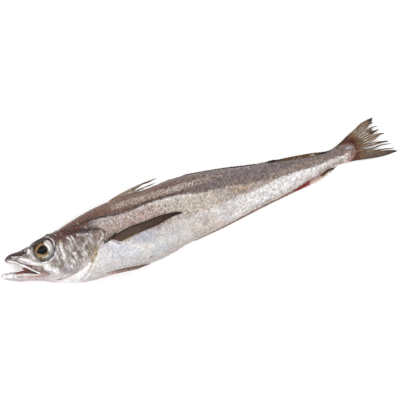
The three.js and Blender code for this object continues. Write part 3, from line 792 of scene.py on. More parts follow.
def fin_material():
    """Thin wet fin skin over bony rays: each ray is a darker rib, and the web between two is paler."""
    material, tree, shader = new_material("wet_fin_membrane")
    painted = add(tree, "Attribute", output="Color", attribute_name="tone")
    ribbed = add(tree, "Attribute", output="Fac", attribute_name="ribbed")
    rays = add(tree, "UVMap", uv_map="rays")
    across = add(tree, "SeparateXYZ", {0: rays})
    turn = add(tree, "Math", {0: across, 1: 2 * math.pi}, operation="MULTIPLY")
    wave = add(tree, "Math", {0: turn}, operation="COSINE")
    rib = add(tree, "MapRange", {
        "Value": wave, "From Min": -0.7, "From Max": 0.5, "To Min": 0.5, "To Max": -0.5,
    })
    gain = add(tree, "Math", {0: rib, 1: ribbed, 2: 1.0}, operation="MULTIPLY_ADD")
    place = add(tree, "TexCoord", output="Object")
    # stains of about 2 mm
    mottle = add(tree, "TexNoise", {"Vector": place, "Scale": 1 / (2 * MM), "Detail": 3.0})
    stain = add(tree, "MapRange", {
        "Value": mottle, "From Min": 0.35, "From Max": 0.65, "To Min": 0.78, "To Max": 1.22,
    })
    gain = add(tree, "Math", {0: gain, 1: stain}, operation="MULTIPLY")
    colour = add(tree, "VectorMath", {0: painted, "Scale": gain}, operation="SCALE")
    bump = add(tree, "Bump", {"Strength": 0.6, "Distance": 0.0003, "Height": wave})
    feed(tree, shader, {
        "Base Color": colour, "Roughness": 0.45, "Normal": bump,
        "Coat Weight": 0.1, "Coat Roughness": 0.2, "IOR": 1.3,
    })
    return material


def soft_wet_material(name, light, deep, size_mm, roughness):
    """Moist soft tissue or tooth, two shades of one colour in soft patches."""
    material, tree, shader = new_material(name)
    place = add(tree, "TexCoord", output="Object")
    patches = add(tree, "TexNoise", {"Vector": place, "Scale": 1 / (size_mm * MM), "Detail": 3.0})
    amount = add(tree, "MapRange", {"Value": patches, "From Min": 0.38, "From Max": 0.62})
    shades = {0: amount, MIX_A: rgb(light), MIX_B: rgb(deep)}
    colour = add(tree, "Mix", shades, MIXED, data_type="RGBA")
    bump = add(tree, "Bump", {"Strength": 0.4, "Distance": 0.0004, "Height": patches})
    feed(tree, shader, {
        "Base Color": colour, "Roughness": roughness, "Normal": bump,
        "Coat Weight": 0.6, "Coat Roughness": 0.08, "IOR": 1.4,
    })
    return material


# ---- Paint on the skin ----

# The lower edge of the dark back, and the upper edge of the pale belly, at seen levels.
back_edge = line([
    (SNOUT, 8), (12, 8.6), (18, 8.4), (24, 8.4), (27.5, 9.8), (32.5, 13.6), (40, 16.4), (46, 16), (52, 14),
    (58, 12.2), (64, 11.4), (70, 11.8), (75, 13.4), (79, 16), (83, 18.2), (92, 18.4), (110, 17.2),
    (126, 17.8), (141, 18.7), (158, 17), (175, 14.6), (200, 13.2), (217, 10.8), (230, 9.6), (242, 8.6),
    (251, 8.2), (261, 8.2), (270, 8.4), (282, 8.9), (292, 9.8), (300, 12),
])
belly_edge = line([
    (SNOUT, 2), (20, -6), (31, -11.5), (44, -13.5), (56, -16.5), (66, -15), (74, -9), (82, -4), (92, -4),
    (130, -4), (160, -4), (180, -2.5), (200, -0.2), (220, 2.6), (240, 6.2), (252, 7.6), (270, 8.4),
    (292, 8.6),
])
# How silvery white the belly is along the fish, 0 to 1: partly the silver's own whiteness, partly painted
# reflection of the light.
belly_silver_and_sheen = line([
    (40, 0.4), (78, 0.8), (92, 0.85), (110, 0.65), (125, 0.15), (160, 0.1), (185, 0.4), (215, 0.5),
    (240, 0.75), (262, 1), (280, 0.5), (300, 0.1),
])


def outside_tone(along, up, out, seen, gill, fold, touched):
    """The colour of the skin outside the mouth, how scaly it is, how strongly its scales are painted with
    white highlights, and how speckled it is.
    """
    lump = wobble(along, up, out, 9.0, 2.2)
    patch = wobble(along, up, out, 4.0, 6.1)
    fine = wobble(along, up, out, 1.7, 9.4)
    trunk = max(ease(along, 76, 92), ease(fold, 0.2, 2.2) * ease(along, 50, 58) * ease(seen, -5, -9))
    rear = ease(along, 150, 205)
    edge = back_edge(along) + 0.8 * patch + 1.1 * fine * trunk
    blur = mix(0.9, 1.7, rear)
    belly_level = belly_edge(along) + mix(2.2, 1.0, rear) * lump
    back = ease(seen, edge - blur, edge + blur)
    soft = mix(4.0, 1.4, ease(along, 195, 238))
    belly = ease(seen, belly_level + soft, belly_level - 0.7 * soft)

    # the flank
    colour = list(tone["cheek"])
    lay(colour, [
        ("rose", trunk),
        ("sand", ease(along, 130, 160)),
        ("dusk", 0.95 * ease(along, 176, 198) * ease(seen, edge - 16, edge - 5)),
        # the belly
        ("throat", belly),
        ("pearl", belly * trunk),
        # the belly's silver, whitened in part as painted reflection
        ("bright", belly * trunk * belly_silver_and_sheen(along)),
        ("blue", belly * trunk * band(along, 84, 94, 130, 150) * (0.22 + 0.5 * lump)),
        # painted shadow of the pectoral fin on the flank under it
        ("lilac", 0.3 * trunk * band(along, 104, 114, 142, 152) * ease(abs(seen + 6.5), 5, 2)),
        ("cream", belly * trunk * ease(along, 150, 125) * 0.6 * ease(-lump - 0.5 * patch, 0.05, 0.5)),
        ("rose", belly * 0.85 * ease(along, 277, 289)),
        # painted shade: the underside of the belly behind the head is greyer where it turns from the light
        ("pearl", 0.6 * belly * trunk * ease(seen, -15, -20) * ease(along, 138, 122)),
        ("sand", 0.75 * belly * band(along, 154, 164, 178, 188) * ease(seen, -3, -6)),
        ("dusk", 0.85 * band(along, 270, 276, 286, 292) * ease(seen, 5.2, 3.6)),
        ("bark", 0.3 * band(along, 270, 276, 286, 292) * ease(seen, 3.6, 2.2)),
        ("slate", 0.3 * ease(along, 284, 298) * ease(seen, 12, 8)),
        ("rust", 0.55 * ease(along, 297, 305) * ease(seen, 12, 7)),
    ])
    # warm and cool patches
    side_skin = (1 - back) * trunk
    lay(colour, [
        ("orange", side_skin * (0.12 + 0.2 * rear) * (1 - 0.5 * belly) * ease(patch + lump, 0.1, 0.9)),
        ("lilac", side_skin * 0.35 * ease(patch - lump, 0.1, 0.9)),
    ])
    # the cheek is blotched grey, olive and white, the white spots as painted highlights
    cheek = (1 - trunk) * (1 - back) * (1 - belly) * ease(along, 34, 46)
    lay(colour, [
        ("pearl", cheek * 0.35 * ease(along, 76, 58)),
        ("lilac", cheek * 0.45 * ease(patch, 0.0, 0.5)),
        ("olive", cheek * 0.55 * ease(-patch, 0.1, 0.6)),
        ("white", cheek * 0.5 * ease(fine, 0.3, 0.65)),
        ("brown", cheek * 0.5 * ease(-fine, 0.2, 0.6)),
    ])
    # long streaks that run down the cheek, the white ones painted highlights, and its darker top
    streak = noise.noise(Vector(((along + 0.15 * seen) / 1.5, seen / 8, 4.2)))
    lay(colour, [
        ("white", cheek * 0.5 * ease(streak + 0.5 * patch, 0.1, 0.5)),
        ("brown", cheek * 0.5 * ease(-streak - 0.5 * patch, 0.1, 0.5)),
        ("bark", cheek * (0.05 + 0.4 * ease(along, 58, 74)) * ease(seen, -12, 2)),
        ("lilac", cheek * 0.5 * ease(seen, -9, -13)),
        ("crown", cheek * 0.8 * ease(seen, 5.5, 10.5)),
        ("maroon", 0.65 * band(along, 46, 52, 66, 74) * band(seen, 9, 12.5, 16, 19)),
        ("umber", (1 - back) * 0.35 * band(along, 66, 76, 84, 90) * ease(seen, 8, 12.5)),
    ])
    # the pale gill membrane between the cover and the fold behind it
    membrane = ease(gill, -0.2, 0.9) * ease(fold, 0.8, -0.6) * ease(seen, -5, -9) * ease(along, 40, 50)
    lay(colour, [
        ("white", membrane * (0.95 - 0.4 * ease(patch, 0.1, 0.5)) * mix(0.55, 1.0, ease(seen, -25, -21))),
        ("ochrebrown", 0.35 * ease(abs(gill + 0.5), 5, 1) * band(seen, -15, -11, -5, -2)),
        ("straw", membrane * 0.45 * ease(along, 70, 77)),
        # the back, with a paler band along it that is a painted highlight where the back curves to the light
        ("crown", back),
        ("umber", back * 0.8 * ease(along, 33, 27)),
        ("copper", back * max(ease(along, 66, 90), 0.8 * ease(along, 48, 66) * ease(seen, 16, 19))),
        ("rust", 0.3 * back * band(along, 44, 56, 88, 102)),
        ("slate", back * ease(along, 125, 190)),
        ("beige", 0.4 * back * rear * ease(patch + 0.6 * lump, 0.0, 0.6) * ease(seen, edge + 7, edge + 3)),
        ("lilac", 0.25 * back * rear * ease(seen, edge + 4, edge + 7) * ease(-patch, -0.1, 0.4)),
        ("copper", 0.5 * back * ease(along, 288, 298) * ease(seen, 11.5, 15)),
    ])
    # the crown between the eyes
    between = band(along, 26, 32, 48, 54) * ease(abs(out), 7.0, 5.0) * ease(up, 10, 13)
    lay(colour, [
        ("crown", 0.9 * between),
        ("umber", 0.65 * between),
        ("brown", back * 0.5 * ease(along, 150, 120) * trunk * ease(seen, edge + 5, edge + 1.5)),
    ])
    # painted highlight: a paler band with golden sparkle where the back curves to the light
    painted_back_highlight = back * ease(abs(seen - 23.5), 3.4, 0.8) * ease(along, 96, 112)
    lay(colour, [
        ("rose", 0.75 * painted_back_highlight * ease(along, 195, 170)),
        ("pinkbrown", 0.35 * painted_back_highlight * band(along, 108, 122, 134, 148)),
        ("pearl", 0.35 * painted_back_highlight * band(along, 134, 146, 162, 174)),
        ("sand", 0.35 * painted_back_highlight * ease(along, 150, 130)),
        ("gold", 0.45 * painted_back_highlight * band(along, 120, 150, 185, 205) * ease(fine, 0.1, 0.4)),
        ("dusk", 0.6 * back * ease(seen, edge + 7, edge + 2) * band(along, 222, 245, 270, 288)),
        ("maroon", 0.4 * back * ease(along, 300, 306)),
        ("pearl", 0.3 * trunk * ease(along, 108, 92) * ease(seen, 10, 15) * (1 - back)),
    ])
    # the lateral line, with a silver fringe under it
    from_line = seen - lateral_line(along) - 0.25 * fine
    dark_line = ease(abs(from_line), 1.25, 0.35) * ease(along, 58, 72) * mix(0.9, 0.0, ease(along, 132, 176))
    dark_line *= 0.9 + 0.8 * fine
    lay(colour, [
        ("umber", dark_line),
        ("white", 0.35 * band(along, 276, 284, 294, 300) * ease(abs(seen - 7.2), 2.4, 0.8)),
        ("white", 0.25 * ease(abs(from_line + 2.4), 1.6, 0.4) * band(along, 108, 126, 150, 172)),
    ])
    away = math.hypot(along - EYE_SEEN.x, seen - EYE_SEEN.y)
    low_rear = ease(along - EYE_SEEN.x - 0.6 * (seen - EYE_SEEN.y), -5, 1)
    lay(colour, [
        ("tar", 0.9 * low_rear * ease(abs(away - 9.0), 0.95, 0.45) * ease(abs(out), 4, 6)),
        # the rims: the crest of the back, a darker brown; the keel of the belly follows below, in painted
        # shade
        ("brown", 0.5 * back * ease(back_line(along) - up, 1.8, 0.4) * ease(along, 96, 150)),
    ])
    # painted shade along the keel of the belly, where it turns from the light, reaching higher towards the
    # tail
    height = back_line(along) - belly_line(along)
    deep = mix(0.12, 0.45, ease(along, 222, 268))
    keel_shade = ease(up, belly_line(along) + deep * height, belly_line(along) + 0.01 * height)
    lay(colour, [("edge", 0.75 * keel_shade * trunk)])
    low_edge = ease(up, belly_line(along) + 1.6, belly_line(along) + 0.5) * ease(abs(out), 4.5, 2.5)
    lay(colour, [
        ("gum", 0.5 * low_edge * ease(along, 148, 165)),
        ("orange", 0.25 * low_edge * rear),
    ])
    # the chin and lips
    front = ease(along, 36, 28)
    lay(colour, [("throat", front * ease(seen, 6, 3))])

    scaly = mix(0.35, mix(0.85, 0.45, belly) + 0.2 * rear * belly, trunk)
    # how strongly the scales are painted with white highlights, by region
    painted_sparkle = 0.1 * (1 - back) * (1 - trunk) + trunk * mix(0.2, 0.14, belly) + 0.22 * rear * belly
    painted_sparkle += 0.12 * band(along, 96, 108, 160, 175) * ease(seen, 7, 11)
    painted_sparkle = mix(painted_sparkle, 0.05 + 0.16 * painted_back_highlight, back)
    speckled = mix(0.2 + 0.1 * patch, mix(0.72, 0.42, rear), back) * (1 - 0.6 * belly)
    lay(colour, [(name, amount) for name, amount, _ in touched])
    for _, amount, _ in touched:
        painted_sparkle *= 1 - 0.7 * amount
        speckled *= 1 - 0.7 * amount
        scaly *= 1 - 0.4 * amount
    return colour, scaly, max(painted_sparkle, 0.0), max(speckled, 0.0)


def inside_tone(along, up, out, deep):
    """The colour of the mouth's lining: white behind the chin, then brown and red towards the throat."""
    colour = list(tone["palate"])
    patch = wobble(along, up, out, 2.5, 4.4)
    lay(colour, [
        ("pinkish", 0.7 * ease(patch, -0.2, 0.2)),
        ("ochre", 0.2 * ease(-patch, -0.1, 0.4)),
        ("maroon", 0.45 * ease(along, 35, 46)),
        ("white", ease(along, 13.5, 9) * ease(deep, 0.9, 0.5)),
        ("lilac", 0.4 * ease(along, 12, 6) * ease(patch, 0.0, 0.4)),
    ])
    return colour, 0.0, 0.0, 0.1


SCALE_WIDTH = 1.0  # mm along the fish from one scale to the next


def scale_row_place(along, up, out):
    """A place in the pattern of scales, whose cells are one unit wide: rows grow and lean to the rear."""
    tall = mix(1.2, 1.45, ease(along, 110, 230)) * SCALE_WIDTH
    lean = 0.2 * abs(up - lateral_line(along)) * ease(along, 90, 160)
    return Vector(((along + lean) / SCALE_WIDTH, up / tall, out / tall))


def make_skin(material):
    """The whole skin, from one grid wrapped round the fish."""
    bm = bmesh.new()
    layers = bm.verts.layers
    painted, rows = layers.float_color.new("tone"), layers.float_vector.new("scale_rows")
    scaly, painted_sparkle, speckled = (layers.float.new(name) for name in ("scaly", "painted_sparkle", "speckled"))
    bmesh.ops.create_grid(bm, x_segments=COLUMNS, y_segments=SKIN_ROWS, size=0.5)
    for vert in bm.verts:
        (along, up, out), way, deep = skin_place(vert.co.x + 0.5, vert.co.y + 0.5)
        if deep:
            finish = inside_tone(along, up, out, deep)
        else:
            seen = seen_level(along, up, out)
            gill, fold = gill_route.distance(along, seen), membrane_route.distance(along, seen)
            touched = marks_at(along, seen, out)
            proud = trunk_relief(along, up, out) + sum(raised for _, _, raised in touched)
            if along < CHEEK_END:
                proud += head_relief(along, up, out, seen, gill, fold)
            finish = outside_tone(along, up, out, seen, gill, fold, touched)
            up += way[0] * proud
            out += way[1] * proud
        vert[painted] = held(finish[0])
        vert[scaly], vert[painted_sparkle], vert[speckled] = finish[1:]
        vert[rows] = scale_row_place(along, up, out)
        vert.co = laid(along, up, out)
    bmesh.ops.remove_doubles(bm, verts=bm.verts, dist=SEAM_GAP)
    ends = [edge for edge in bm.edges if edge.is_boundary]
    bmesh.ops.holes_fill(bm, edges=ends, sides=0)
    return finish_closed_piece(bm, "skin", material)


# ---- The eyes ----


def eye_tone(x, y):
    """The eye's colour at a place, in millimetres from its centre; x points to the tail, y to the back."""
    r = math.hypot(x, y)
    px, py = x + 0.7, y - 0.2
    angle = math.atan2(py, px)
    # the pupil is an oval drawn out to a point at the front
    drop = max(math.cos(angle - math.radians(184)), 0.0)
    from_pupil = math.hypot(px, py)
    pupil = from_pupil - 1 / math.hypot(math.cos(angle) / 3.5, math.sin(angle) / 3.2) - 1.75 * drop ** 12
    ring = from_pupil - 4.35 - 1.2 * drop ** 3
    colour = list(tone["olive"])
    lay(colour, [
        ("cheek", 0.6 * ease(-x, 1.0, 5.0) * ease(y, 4, 0)),
        ("paleochre", 0.55 * ease(-y, 2.5, 5.0) * ease(x, 4, 1)),
        ("pearl", 0.9 * ease(x, 2.4, 4.6)),
        ("brown", 0.95 * ease(y - 0.25 * x, 1.8, 4.2) * ease(x, 4.4, 1.6)),
        ("umber", 0.85 * ease(y - 0.2 * x, 3.8, 6.0) * ease(x, 4.8, 2.0)),
        ("bright", ease(math.hypot((x - 1.2) / 1.8, y + 6.0), 1.8, 0.8)),
        ("paleochre", 0.9 * ease(math.hypot(x + 5.3, y + 3.2), 1.5, 0.5)),
        ("straw", 0.95 * ease(math.hypot((x + 1.9) / 1.8, y + 5.5), 1.6, 0.5)),
        ("maroon", 0.75 * ease(math.hypot(x + 4.7, y + 5.8), 1.1, 0.3)),
        # the white crescent right of the pupil: partly the iris's own silver, partly painted reflection
        ("white", ease(abs(from_pupil - 5.2), 1.2, 0.7) * ease(px, 1.6, 3.0) * ease(py, -3.6, -0.5)),
        ("dusk", 0.75 * ease(abs(from_pupil - 6.45), 0.55, 0.15) * ease(px, 1.5, 3.5)),
        ("cream", 0.85 * ease(abs(from_pupil - 7.3), 0.85, 0.4) * ease(px, 1.5, 3.5)),
        ("tawny", 0.75 * ease(abs(ring - 0.5), 0.75, 0.25) * ease(px, 2.2, 0.0)),
        ("gold", ease(abs(ring), 0.5, 0.15) * ease(px, 2.4, 0.2)),
        ("orange", 0.35 * ease(abs(ring), 0.5, 0.2) * ease(px, 1.0, -1.0)),
        ("ochrebrown", 0.75 * ease(from_pupil, 5.0, 4.2) * ease(px, 0.0, 1.4) * ease(py, -1.0, -2.4)),
        ("tar", 0.75 * ease(pupil, 0.75, 0.2) * ease(px, 1.2, 0.0)),
        # painted highlight: a pale blue arc on the lower rim of the eye
        ("blue", 0.95 * ease(abs(r - 7.2), 0.8, 0.3) * ease(math.cos(math.atan2(y, x) + 0.75), 0.3, 0.85)),
        ("rim", ease(r, 8.0, 8.5) * mix(0.3, 1.0, ease(x, -5, 0))),
        ("pupil", ease(pupil, 0.22, -0.12)),
    ])
    return colour


BROW = 0.66  # the share of the eye's radius above which the brow flattens and covers it


def make_eye(side, material):
    """One eyeball: a flattened ball in its socket, bulging a little from the head."""
    bm = bmesh.new()
    layer = bm.verts.layers.float_color.new("tone")
    bmesh.ops.create_uvsphere(bm, u_segments=128, v_segments=80, radius=1.0)
    surface = flank_out(EYE.x, EYE.y)
    for vert in bm.verts:
        x, y, z = vert.co
        vert[layer] = held(eye_tone(x * EYE_RADIUS, y * EYE_RADIUS))
        along, up = EYE.x + x * EYE_RADIUS, EYE.y + (y - 0.62 * max(y - BROW, 0.0)) * EYE_RADIUS
        roof = flank_out(along, min(up, back_line(along) - 0.5)) + mix(EYE_BULGE, -0.5, ease(y, 0.4, 0.8))
        # the back of the ball stays a little under its front where the brow presses it flat
        out = min(surface + EYE_BULGE - EYE_DEPTH + z * EYE_DEPTH, roof + 0.2 * (z - 1))
        vert.co = laid(along, up, side * out)
    name = "eye_left" if side > 0 else "eye_right"
    return finish_closed_piece(bm, name, material)


# ---- Fins ----


def ray_wave(across, count):
    """1 on each ray and 0 half way between two."""
    return 0.5 + 0.5 * math.cos(2 * math.pi * across * count)


def path(points):
    """A smooth path through points, from 0 to 1, evenly by the points' spacing."""
    total = [0.0]
    for a, b in zip(points, points[1:]):
        total.append(total[-1] + math.dist(a, b))
    scale = [t / total[-1] * 100 for t in total]
    xs = line([(s, p[0]) for s, p in zip(scale, points)])
    ys = line([(s, p[1]) for s, p in zip(scale, points)])
    return lambda t: (xs(t * 100), ys(t * 100))


def fin_sheet(name, material, thickness, parts):
    """A thin fin of one or more sheets. Each part has its columns, rows and number of rays, and two functions
    of the place in the sheet: across runs over the rays from 0 to 1, and down runs from root to tip."""
    bm = bmesh.new()
    painted = bm.verts.layers.float_color.new("tone")
    ribbed = bm.verts.layers.float.new("ribbed")
    uv = bm.loops.layers.uv.new("rays")
    for columns, rows, rays, place_of, finish_of in parts:
        verts = bmesh.ops.create_grid(bm, x_segments=columns, y_segments=rows, size=0.5)["verts"]
        for face in {face for vert in verts for face in vert.link_faces}:
            for loop in face.loops:
                loop[uv].uv = ((loop.vert.co.x + 0.5) * rays, loop.vert.co.y + 0.5)
        for vert in verts:
            across, down = vert.co.x + 0.5, vert.co.y + 0.5
            place = place_of(across, down)
            colour, vert[ribbed] = finish_of(place[0], place[1], across, down)
            vert[painted] = held(colour)
            vert.co = laid(*place)
    piece = finish_piece(bm, name, material)
    shell = piece.modifiers.new("thickness", "SOLIDIFY")
    shell.thickness = thickness * MM
    shell.offset = 0.0


PECTORAL_RAYS = 5  # as many as show, not each of the fish's own
pectoral_top = path([
    (88.6, -0.3), (92, 0.6), (95.5, 1.5), (99.9, 2.6), (106, 3.8), (114.8, 4.9), (125.5, 5.2), (136.4, 6),
    (146.8, 5.6), (153, 4.7), (156.8, 2.9),
])
pectoral_low = path([
    (88.6, -0.9), (92, -0.5), (95.5, 0.2), (98.6, -1.4), (101.5, -3.8), (106, -3.9), (112.4, -3),
    (123.5, -1.5), (134.1, -0.6), (143.1, 1.2), (149, 2.3), (156.4, 2.6),
])


def pectoral_place(side):
    """The pectoral fin lies back along the flank: a narrow root, a long blade and a point that turns down."""
    def place(across, down):
        top, low = pectoral_top(down), pectoral_low(down)
        ragged = 0.35 * wobble(top[0], across, 7 * side, 4.0, 4.4)
        ragged *= ease(across, 0.7, 1.0) * ease(down, 0.3, 0.5)
        along, up = mix(top[0], low[0], across), mix(top[1], low[1], across) + ragged
        wide = ease(top[1] - low[1], 1.0, 5.0)
        lift = 0.5 + wide * (0.7 * math.sin(math.pi * across) + 0.2 * ray_wave(across, PECTORAL_RAYS))
        lift += 0.3 * wobble(along, up, 0, 12.0, 8.8 * side)
        return along, up, side * (flank_out(along, up) + lift)
    return place


def pectoral_finish(along, up, across, down):
    """Blackish brown: a greyer middle, gold along the lower edge near the root, and a black point."""
    colour = list(tone["finbrown"])
    lay(colour, [
        ("fingrey", 0.6 * ease(abs(across - 0.5), 0.4, 0.1) * band(along, 98, 103, 118, 150)),
        ("rust", 0.3 * ease(wobble(along, up, 0, 6.0, 3.9), 0.0, 0.5)),
        ("gum", 0.5 * ease(across, 0.35, 0.8) * band(along, 95, 98, 100, 105)),
        ("ochrebrown", 0.75 * ease(across, 0.72, 0.95) * band(along, 101, 104, 112, 130)),
        ("tar", 0.75 * ease(across, 0.2, 0.0) + 0.8 * ease(along, 144, 152) + 0.7 * ease(along, 100, 96)),
        ("tar", 0.6 * ease(across, 0.85, 1.0) * ease(along, 120, 130)),
    ])
    return colour, 0.4 * band(along, 98, 104, 142, 152)


PELVIC_RAYS = 6


def pelvic_place(side):
    """The small pelvic fin, folded back along the lower edge of the belly."""
    def place(across, down):
        base_along, base_up = mix(83.6, 88.0, across), mix(-25.2, -28.0, across)
        tip_along, tip_up = mix(119.5, 108.0, across), mix(-29.0, -30.0, across)
        along = mix(base_along, tip_along, down)
        up = mix(base_up, tip_up, down) + 1.6 * (1 - across) * down * (1 - down)
        hug = flank_out(along, max(up, belly_line(along) + 0.9))
        return along, up, side * (hug + 0.4 + 0.15 * ray_wave(across, PELVIC_RAYS))
    return place


def pelvic_finish(along, up, across, down):
    """Pinkish and half clear, with a dark upper edge."""
    colour = list(tone["pinkbrown"])
    lay(colour, [
        ("sand", 0.5 * ease(across, 0.2, 0.6)),
        ("pink", 0.7 * ease(down, 0.25, 0.05)),
        ("brown", 0.85 * ease(across, 0.3, 0.05) * ease(down, 0.15, 0.35)),
        ("fingrey", 0.4 * ease(down, 0.6, 0.9)),
    ])
    return colour, 0.35


# Groups of the first dorsal fin's rays, folded back: how many, where the root runs, the tips of the first and
# last ray, how bowed they are, and how far they lean over.
FIRST_DORSAL = [
    (2, (98.5, 101.5), (144.4, 36.1), (143.9, 35.6), 7.0, 0.2),
    (4, (100, 113), (133.5, 34.6), (124.0, 31.6), 5.6, 0.4),
    (3, (108, 118), (143.4, 32.9), (139.0, 31.9), 1.9, 0.6),
    (3, (112, 124), (135.0, 31.9), (131.0, 30.8), 1.0, 0.8),
]


def first_dorsal_place(rays, root, first_tip, last_tip, bow, lean):
    """One group of the first dorsal fin's rays, folded back and a little raised."""
    def place(across, down):
        root_along = mix(*root, across)
        tip_along, tip_up = mix(first_tip[0], last_tip[0], across), mix(first_tip[1], last_tip[1], across)
        notch = 1 - 0.16 * ease(down, 0.6, 1.0) * (1 - ray_wave(across, rays))
        along = mix(root_along, tip_along, down * notch)
        root_up = back_line(root_along) - 1.2 * ease(down, 0.1, 0.0)
        up = mix(root_up, tip_up, down * notch) + bow * mix(1.0, 0.3, across) * down * (1 - down)
        return along, up, 0.5 * wobble(along, up, 0, 10.0, 3.3) - 1.2 * down * lean
    return place


def first_dorsal_finish(number):
    """Golden webs behind a dark leading ray; the rear groups are straw-coloured."""
    def finish(along, up, across, down):
        colour = list(tone["gold"])
        lay(colour, [
            ("sand", (0.65, 0.7, 0.85, 0.85)[number]),
            ("tawny", 0.35 * ease(down, 0.3, 0.1)),
        ])
        if number < 2:
            lay(colour, [("bark", 0.6 * ease(across, 0.3, 0.1) + 0.3 * ease(down, 0.5, 0.8))])
        if number == 0:
            lay(colour, [("bark", 0.7 * ease(down, 0.66, 0.8))])
        return colour, 0.5
    return finish


second_dorsal_height = line([
    (158, 0.4), (185, 0.6), (205, 0.8), (232, 1.1), (239, 1.9), (243, 1.5), (256, 2.4), (272, 2.5),
    (281, 1.3), (287, 0.3),
])
anal_height = line([
    (152, 0.6), (180, 0.9), (208, 1.1), (236, 1.5), (250, 2), (258, 3), (264, 4.1), (270, 4.6), (277, 4.2),
    (283, 2.8), (286.5, 1.4), (288.5, 0.3),
])
FOLDED_SLANT = 9.0  # how far back a folded ray leans from root to tip
FOLDED_RAYS = 38  # as many as show


def folded_place(start, end, body_line, height, direction):
    """A long fin folded down along the back (direction 1) or the belly (direction -1)."""
    def place(across, down):
        along = mix(start, end - FOLDED_SLANT, across) + FOLDED_SLANT * down
        wave = ray_wave(across, FOLDED_RAYS)
        notch = 1 - 0.1 * ease(down, 0.6, 1.0) * (1 - wave)
        up = body_line(along) + direction * mix(-1.4, height(along) * notch, down)
        return along, up, 0.25 * wave + 0.5 * wobble(along, 0, 0, 14.0, 6.6)
    return place


def second_dorsal_finish(along, up, across, down):
    """Grey brown and dark-edged, with gold webs over the wrist of the tail and black behind them."""
    colour = list(tone["brown"])
    lay(colour, [
        ("slate", 0.5),
        ("umber", 0.7 * ease(down, 0.55, 0.9)),
        # painted highlight: a pale band across the fin around along 229
        ("pearl", 0.85 * ease(abs(along - 229), 6, 3)),
        ("umber", 0.9 * ease(abs(along - 239), 2.4, 1.2)),
    ])
    webs = 0.8 * ease(wobble(along, 0, 0, 5.0, 2.1), 0.0, 0.4) * ease(abs(down - 0.5), 0.4, 0.1)
    gold = band(along, 241, 247, 273, 279)
    lay(colour, [
        ("tawny", 0.9 * gold),
        ("straw", gold * webs),
        ("umber", 0.75 * gold * ease(down, 0.75, 0.95)),
        ("tar", 0.95 * ease(along, 275, 279)),
    ])
    return colour, 0.35


def anal_finish(along, up, across, down):
    """A thin brownish edge, then blood red, then clear pink webs with a dark root and a cream fringe."""
    colour = list(tone["rose"])
    lay(colour, [
        ("sand", 0.35 * ease(along, 250, 235)),
        ("umber", 0.6 * ease(abs(along - 223), 2.2, 0.8)),
        ("blood", 0.95 * ease(along, 246, 252)),
        ("pink", 0.9 * ease(along, 261, 265) * ease(down, 0.1, 0.3)),
        ("lilac", 0.4 * ease(along, 262, 267) * ease(down, 0.7, 0.4)),
        ("maroon", 0.9 * ease(abs(along - 273.5 - 3 * down), 2.2, 1.0)),
        ("cream", 0.9 * ease(along, 260, 266) * ease(down, 0.62, 0.82)),
        ("ochrebrown", 0.9 * ease(along, 271, 275) * ease(down, 0.75, 0.55)),
        ("tar", 0.95 * ease(along, 272, 277) * ease(down, 0.6, 0.4) + 0.9 * ease(along, 280, 284)),
    ])
    return colour, 0.3


# The lobes of the split tail fin: as many rays as show, how much bark, pale web, dark tip and fraying each
# has, its dark edge, and its upper and lower edges.
NO_EDGE = (0.0, 1.0, 0.0)
TAIL_LOBES = [
    (
        4, 0.25, 0.35, 0.6, 0.35, (0.12, 0.0, 0.75),
        [(284, 15.4), (294.7, 19.3), (302.5, 23.3), (310.6, 27), (316.4, 30), (322.4, 31.4), (327.2, 31.9)],
        [(298, 17.5), (309, 19.2), (317.4, 23), (321.6, 25.6), (325, 28), (326.6, 29.6)],
    ),
    (
        3, 0.1, 1.0, 0.3, 1.0, NO_EDGE,
        [(302, 17.6), (310, 19.8), (315.6, 22.6), (321, 23.6), (325.4, 23.9)],
        [(303, 15), (311, 15.8), (318.8, 17.1), (321.3, 18.1), (326.3, 19.9)],
    ),
    (
        2, 0.2, 0.8, 0.3, 0.6, NO_EDGE,
        [(303, 14.6), (311, 15.7), (318.8, 17.2), (324.7, 18.3), (329.8, 17.9), (333.4, 16.6)],
        [(303, 12), (312, 12.5), (317.4, 12.9), (323.5, 14), (329.5, 16.3), (333.4, 16.2)],
    ),
    (
        1, 0.45, 0.35, 0.8, 0.5, NO_EDGE,
        [(303, 12), (312, 12.6), (318, 12.9), (323.7, 12), (330, 11.1), (334.7, 9.9)],
        [(303, 10.6), (311.3, 10.4), (319, 9.9), (329.6, 9.7), (334.7, 9.2)],
    ),
    (
        1, 0.8, 0.0, 0.9, 0.5, NO_EDGE,
        [(303, 10.8), (311.3, 10), (316.3, 8.6), (321, 8.3), (325.6, 8.4)],
        [(303, 8), (312, 7.2), (318, 7), (325.2, 7.5)],
    ),
    (
        4, 0.6, 0.1, 0.6, 0.5, (0.82, 1.0, 0.8),
        [(302, 8.5), (314, 7.6), (321, 6.4), (325.6, 4.1), (333.8, 2.1), (339.4, 0)],
        [
            (287.7, 3.3), (300.1, 2.7), (309.7, 1.3), (318.8, -0.1), (328.5, -0.9), (335.1, -0.6),
            (339.4, -0.3),
        ],
    ),
]
# Single rays that stand free of the web, through their points.
TAIL_RAYS = [
    [(320, 23.3), (326, 24.3), (329.6, 23.9)], [(321, 21), (326.6, 21), (330.5, 21.3)],
    [(321, 27.6), (324.6, 27.5), (327, 27.8)], [(322, 7.6), (328, 8.3), (336.1, 6.8)],
    [(321, 5.4), (328, 4.6), (337.9, 2.8)], [(324, 11.2), (330, 10.2), (334.9, 9.5)],
    [(321, 19.4), (325, 20.2), (328, 20.4)], [(326, 30.4), (327.6, 32)],
]
TAIL_FAN = Vector((296.0, 11.0))  # where the tail's rays spread from


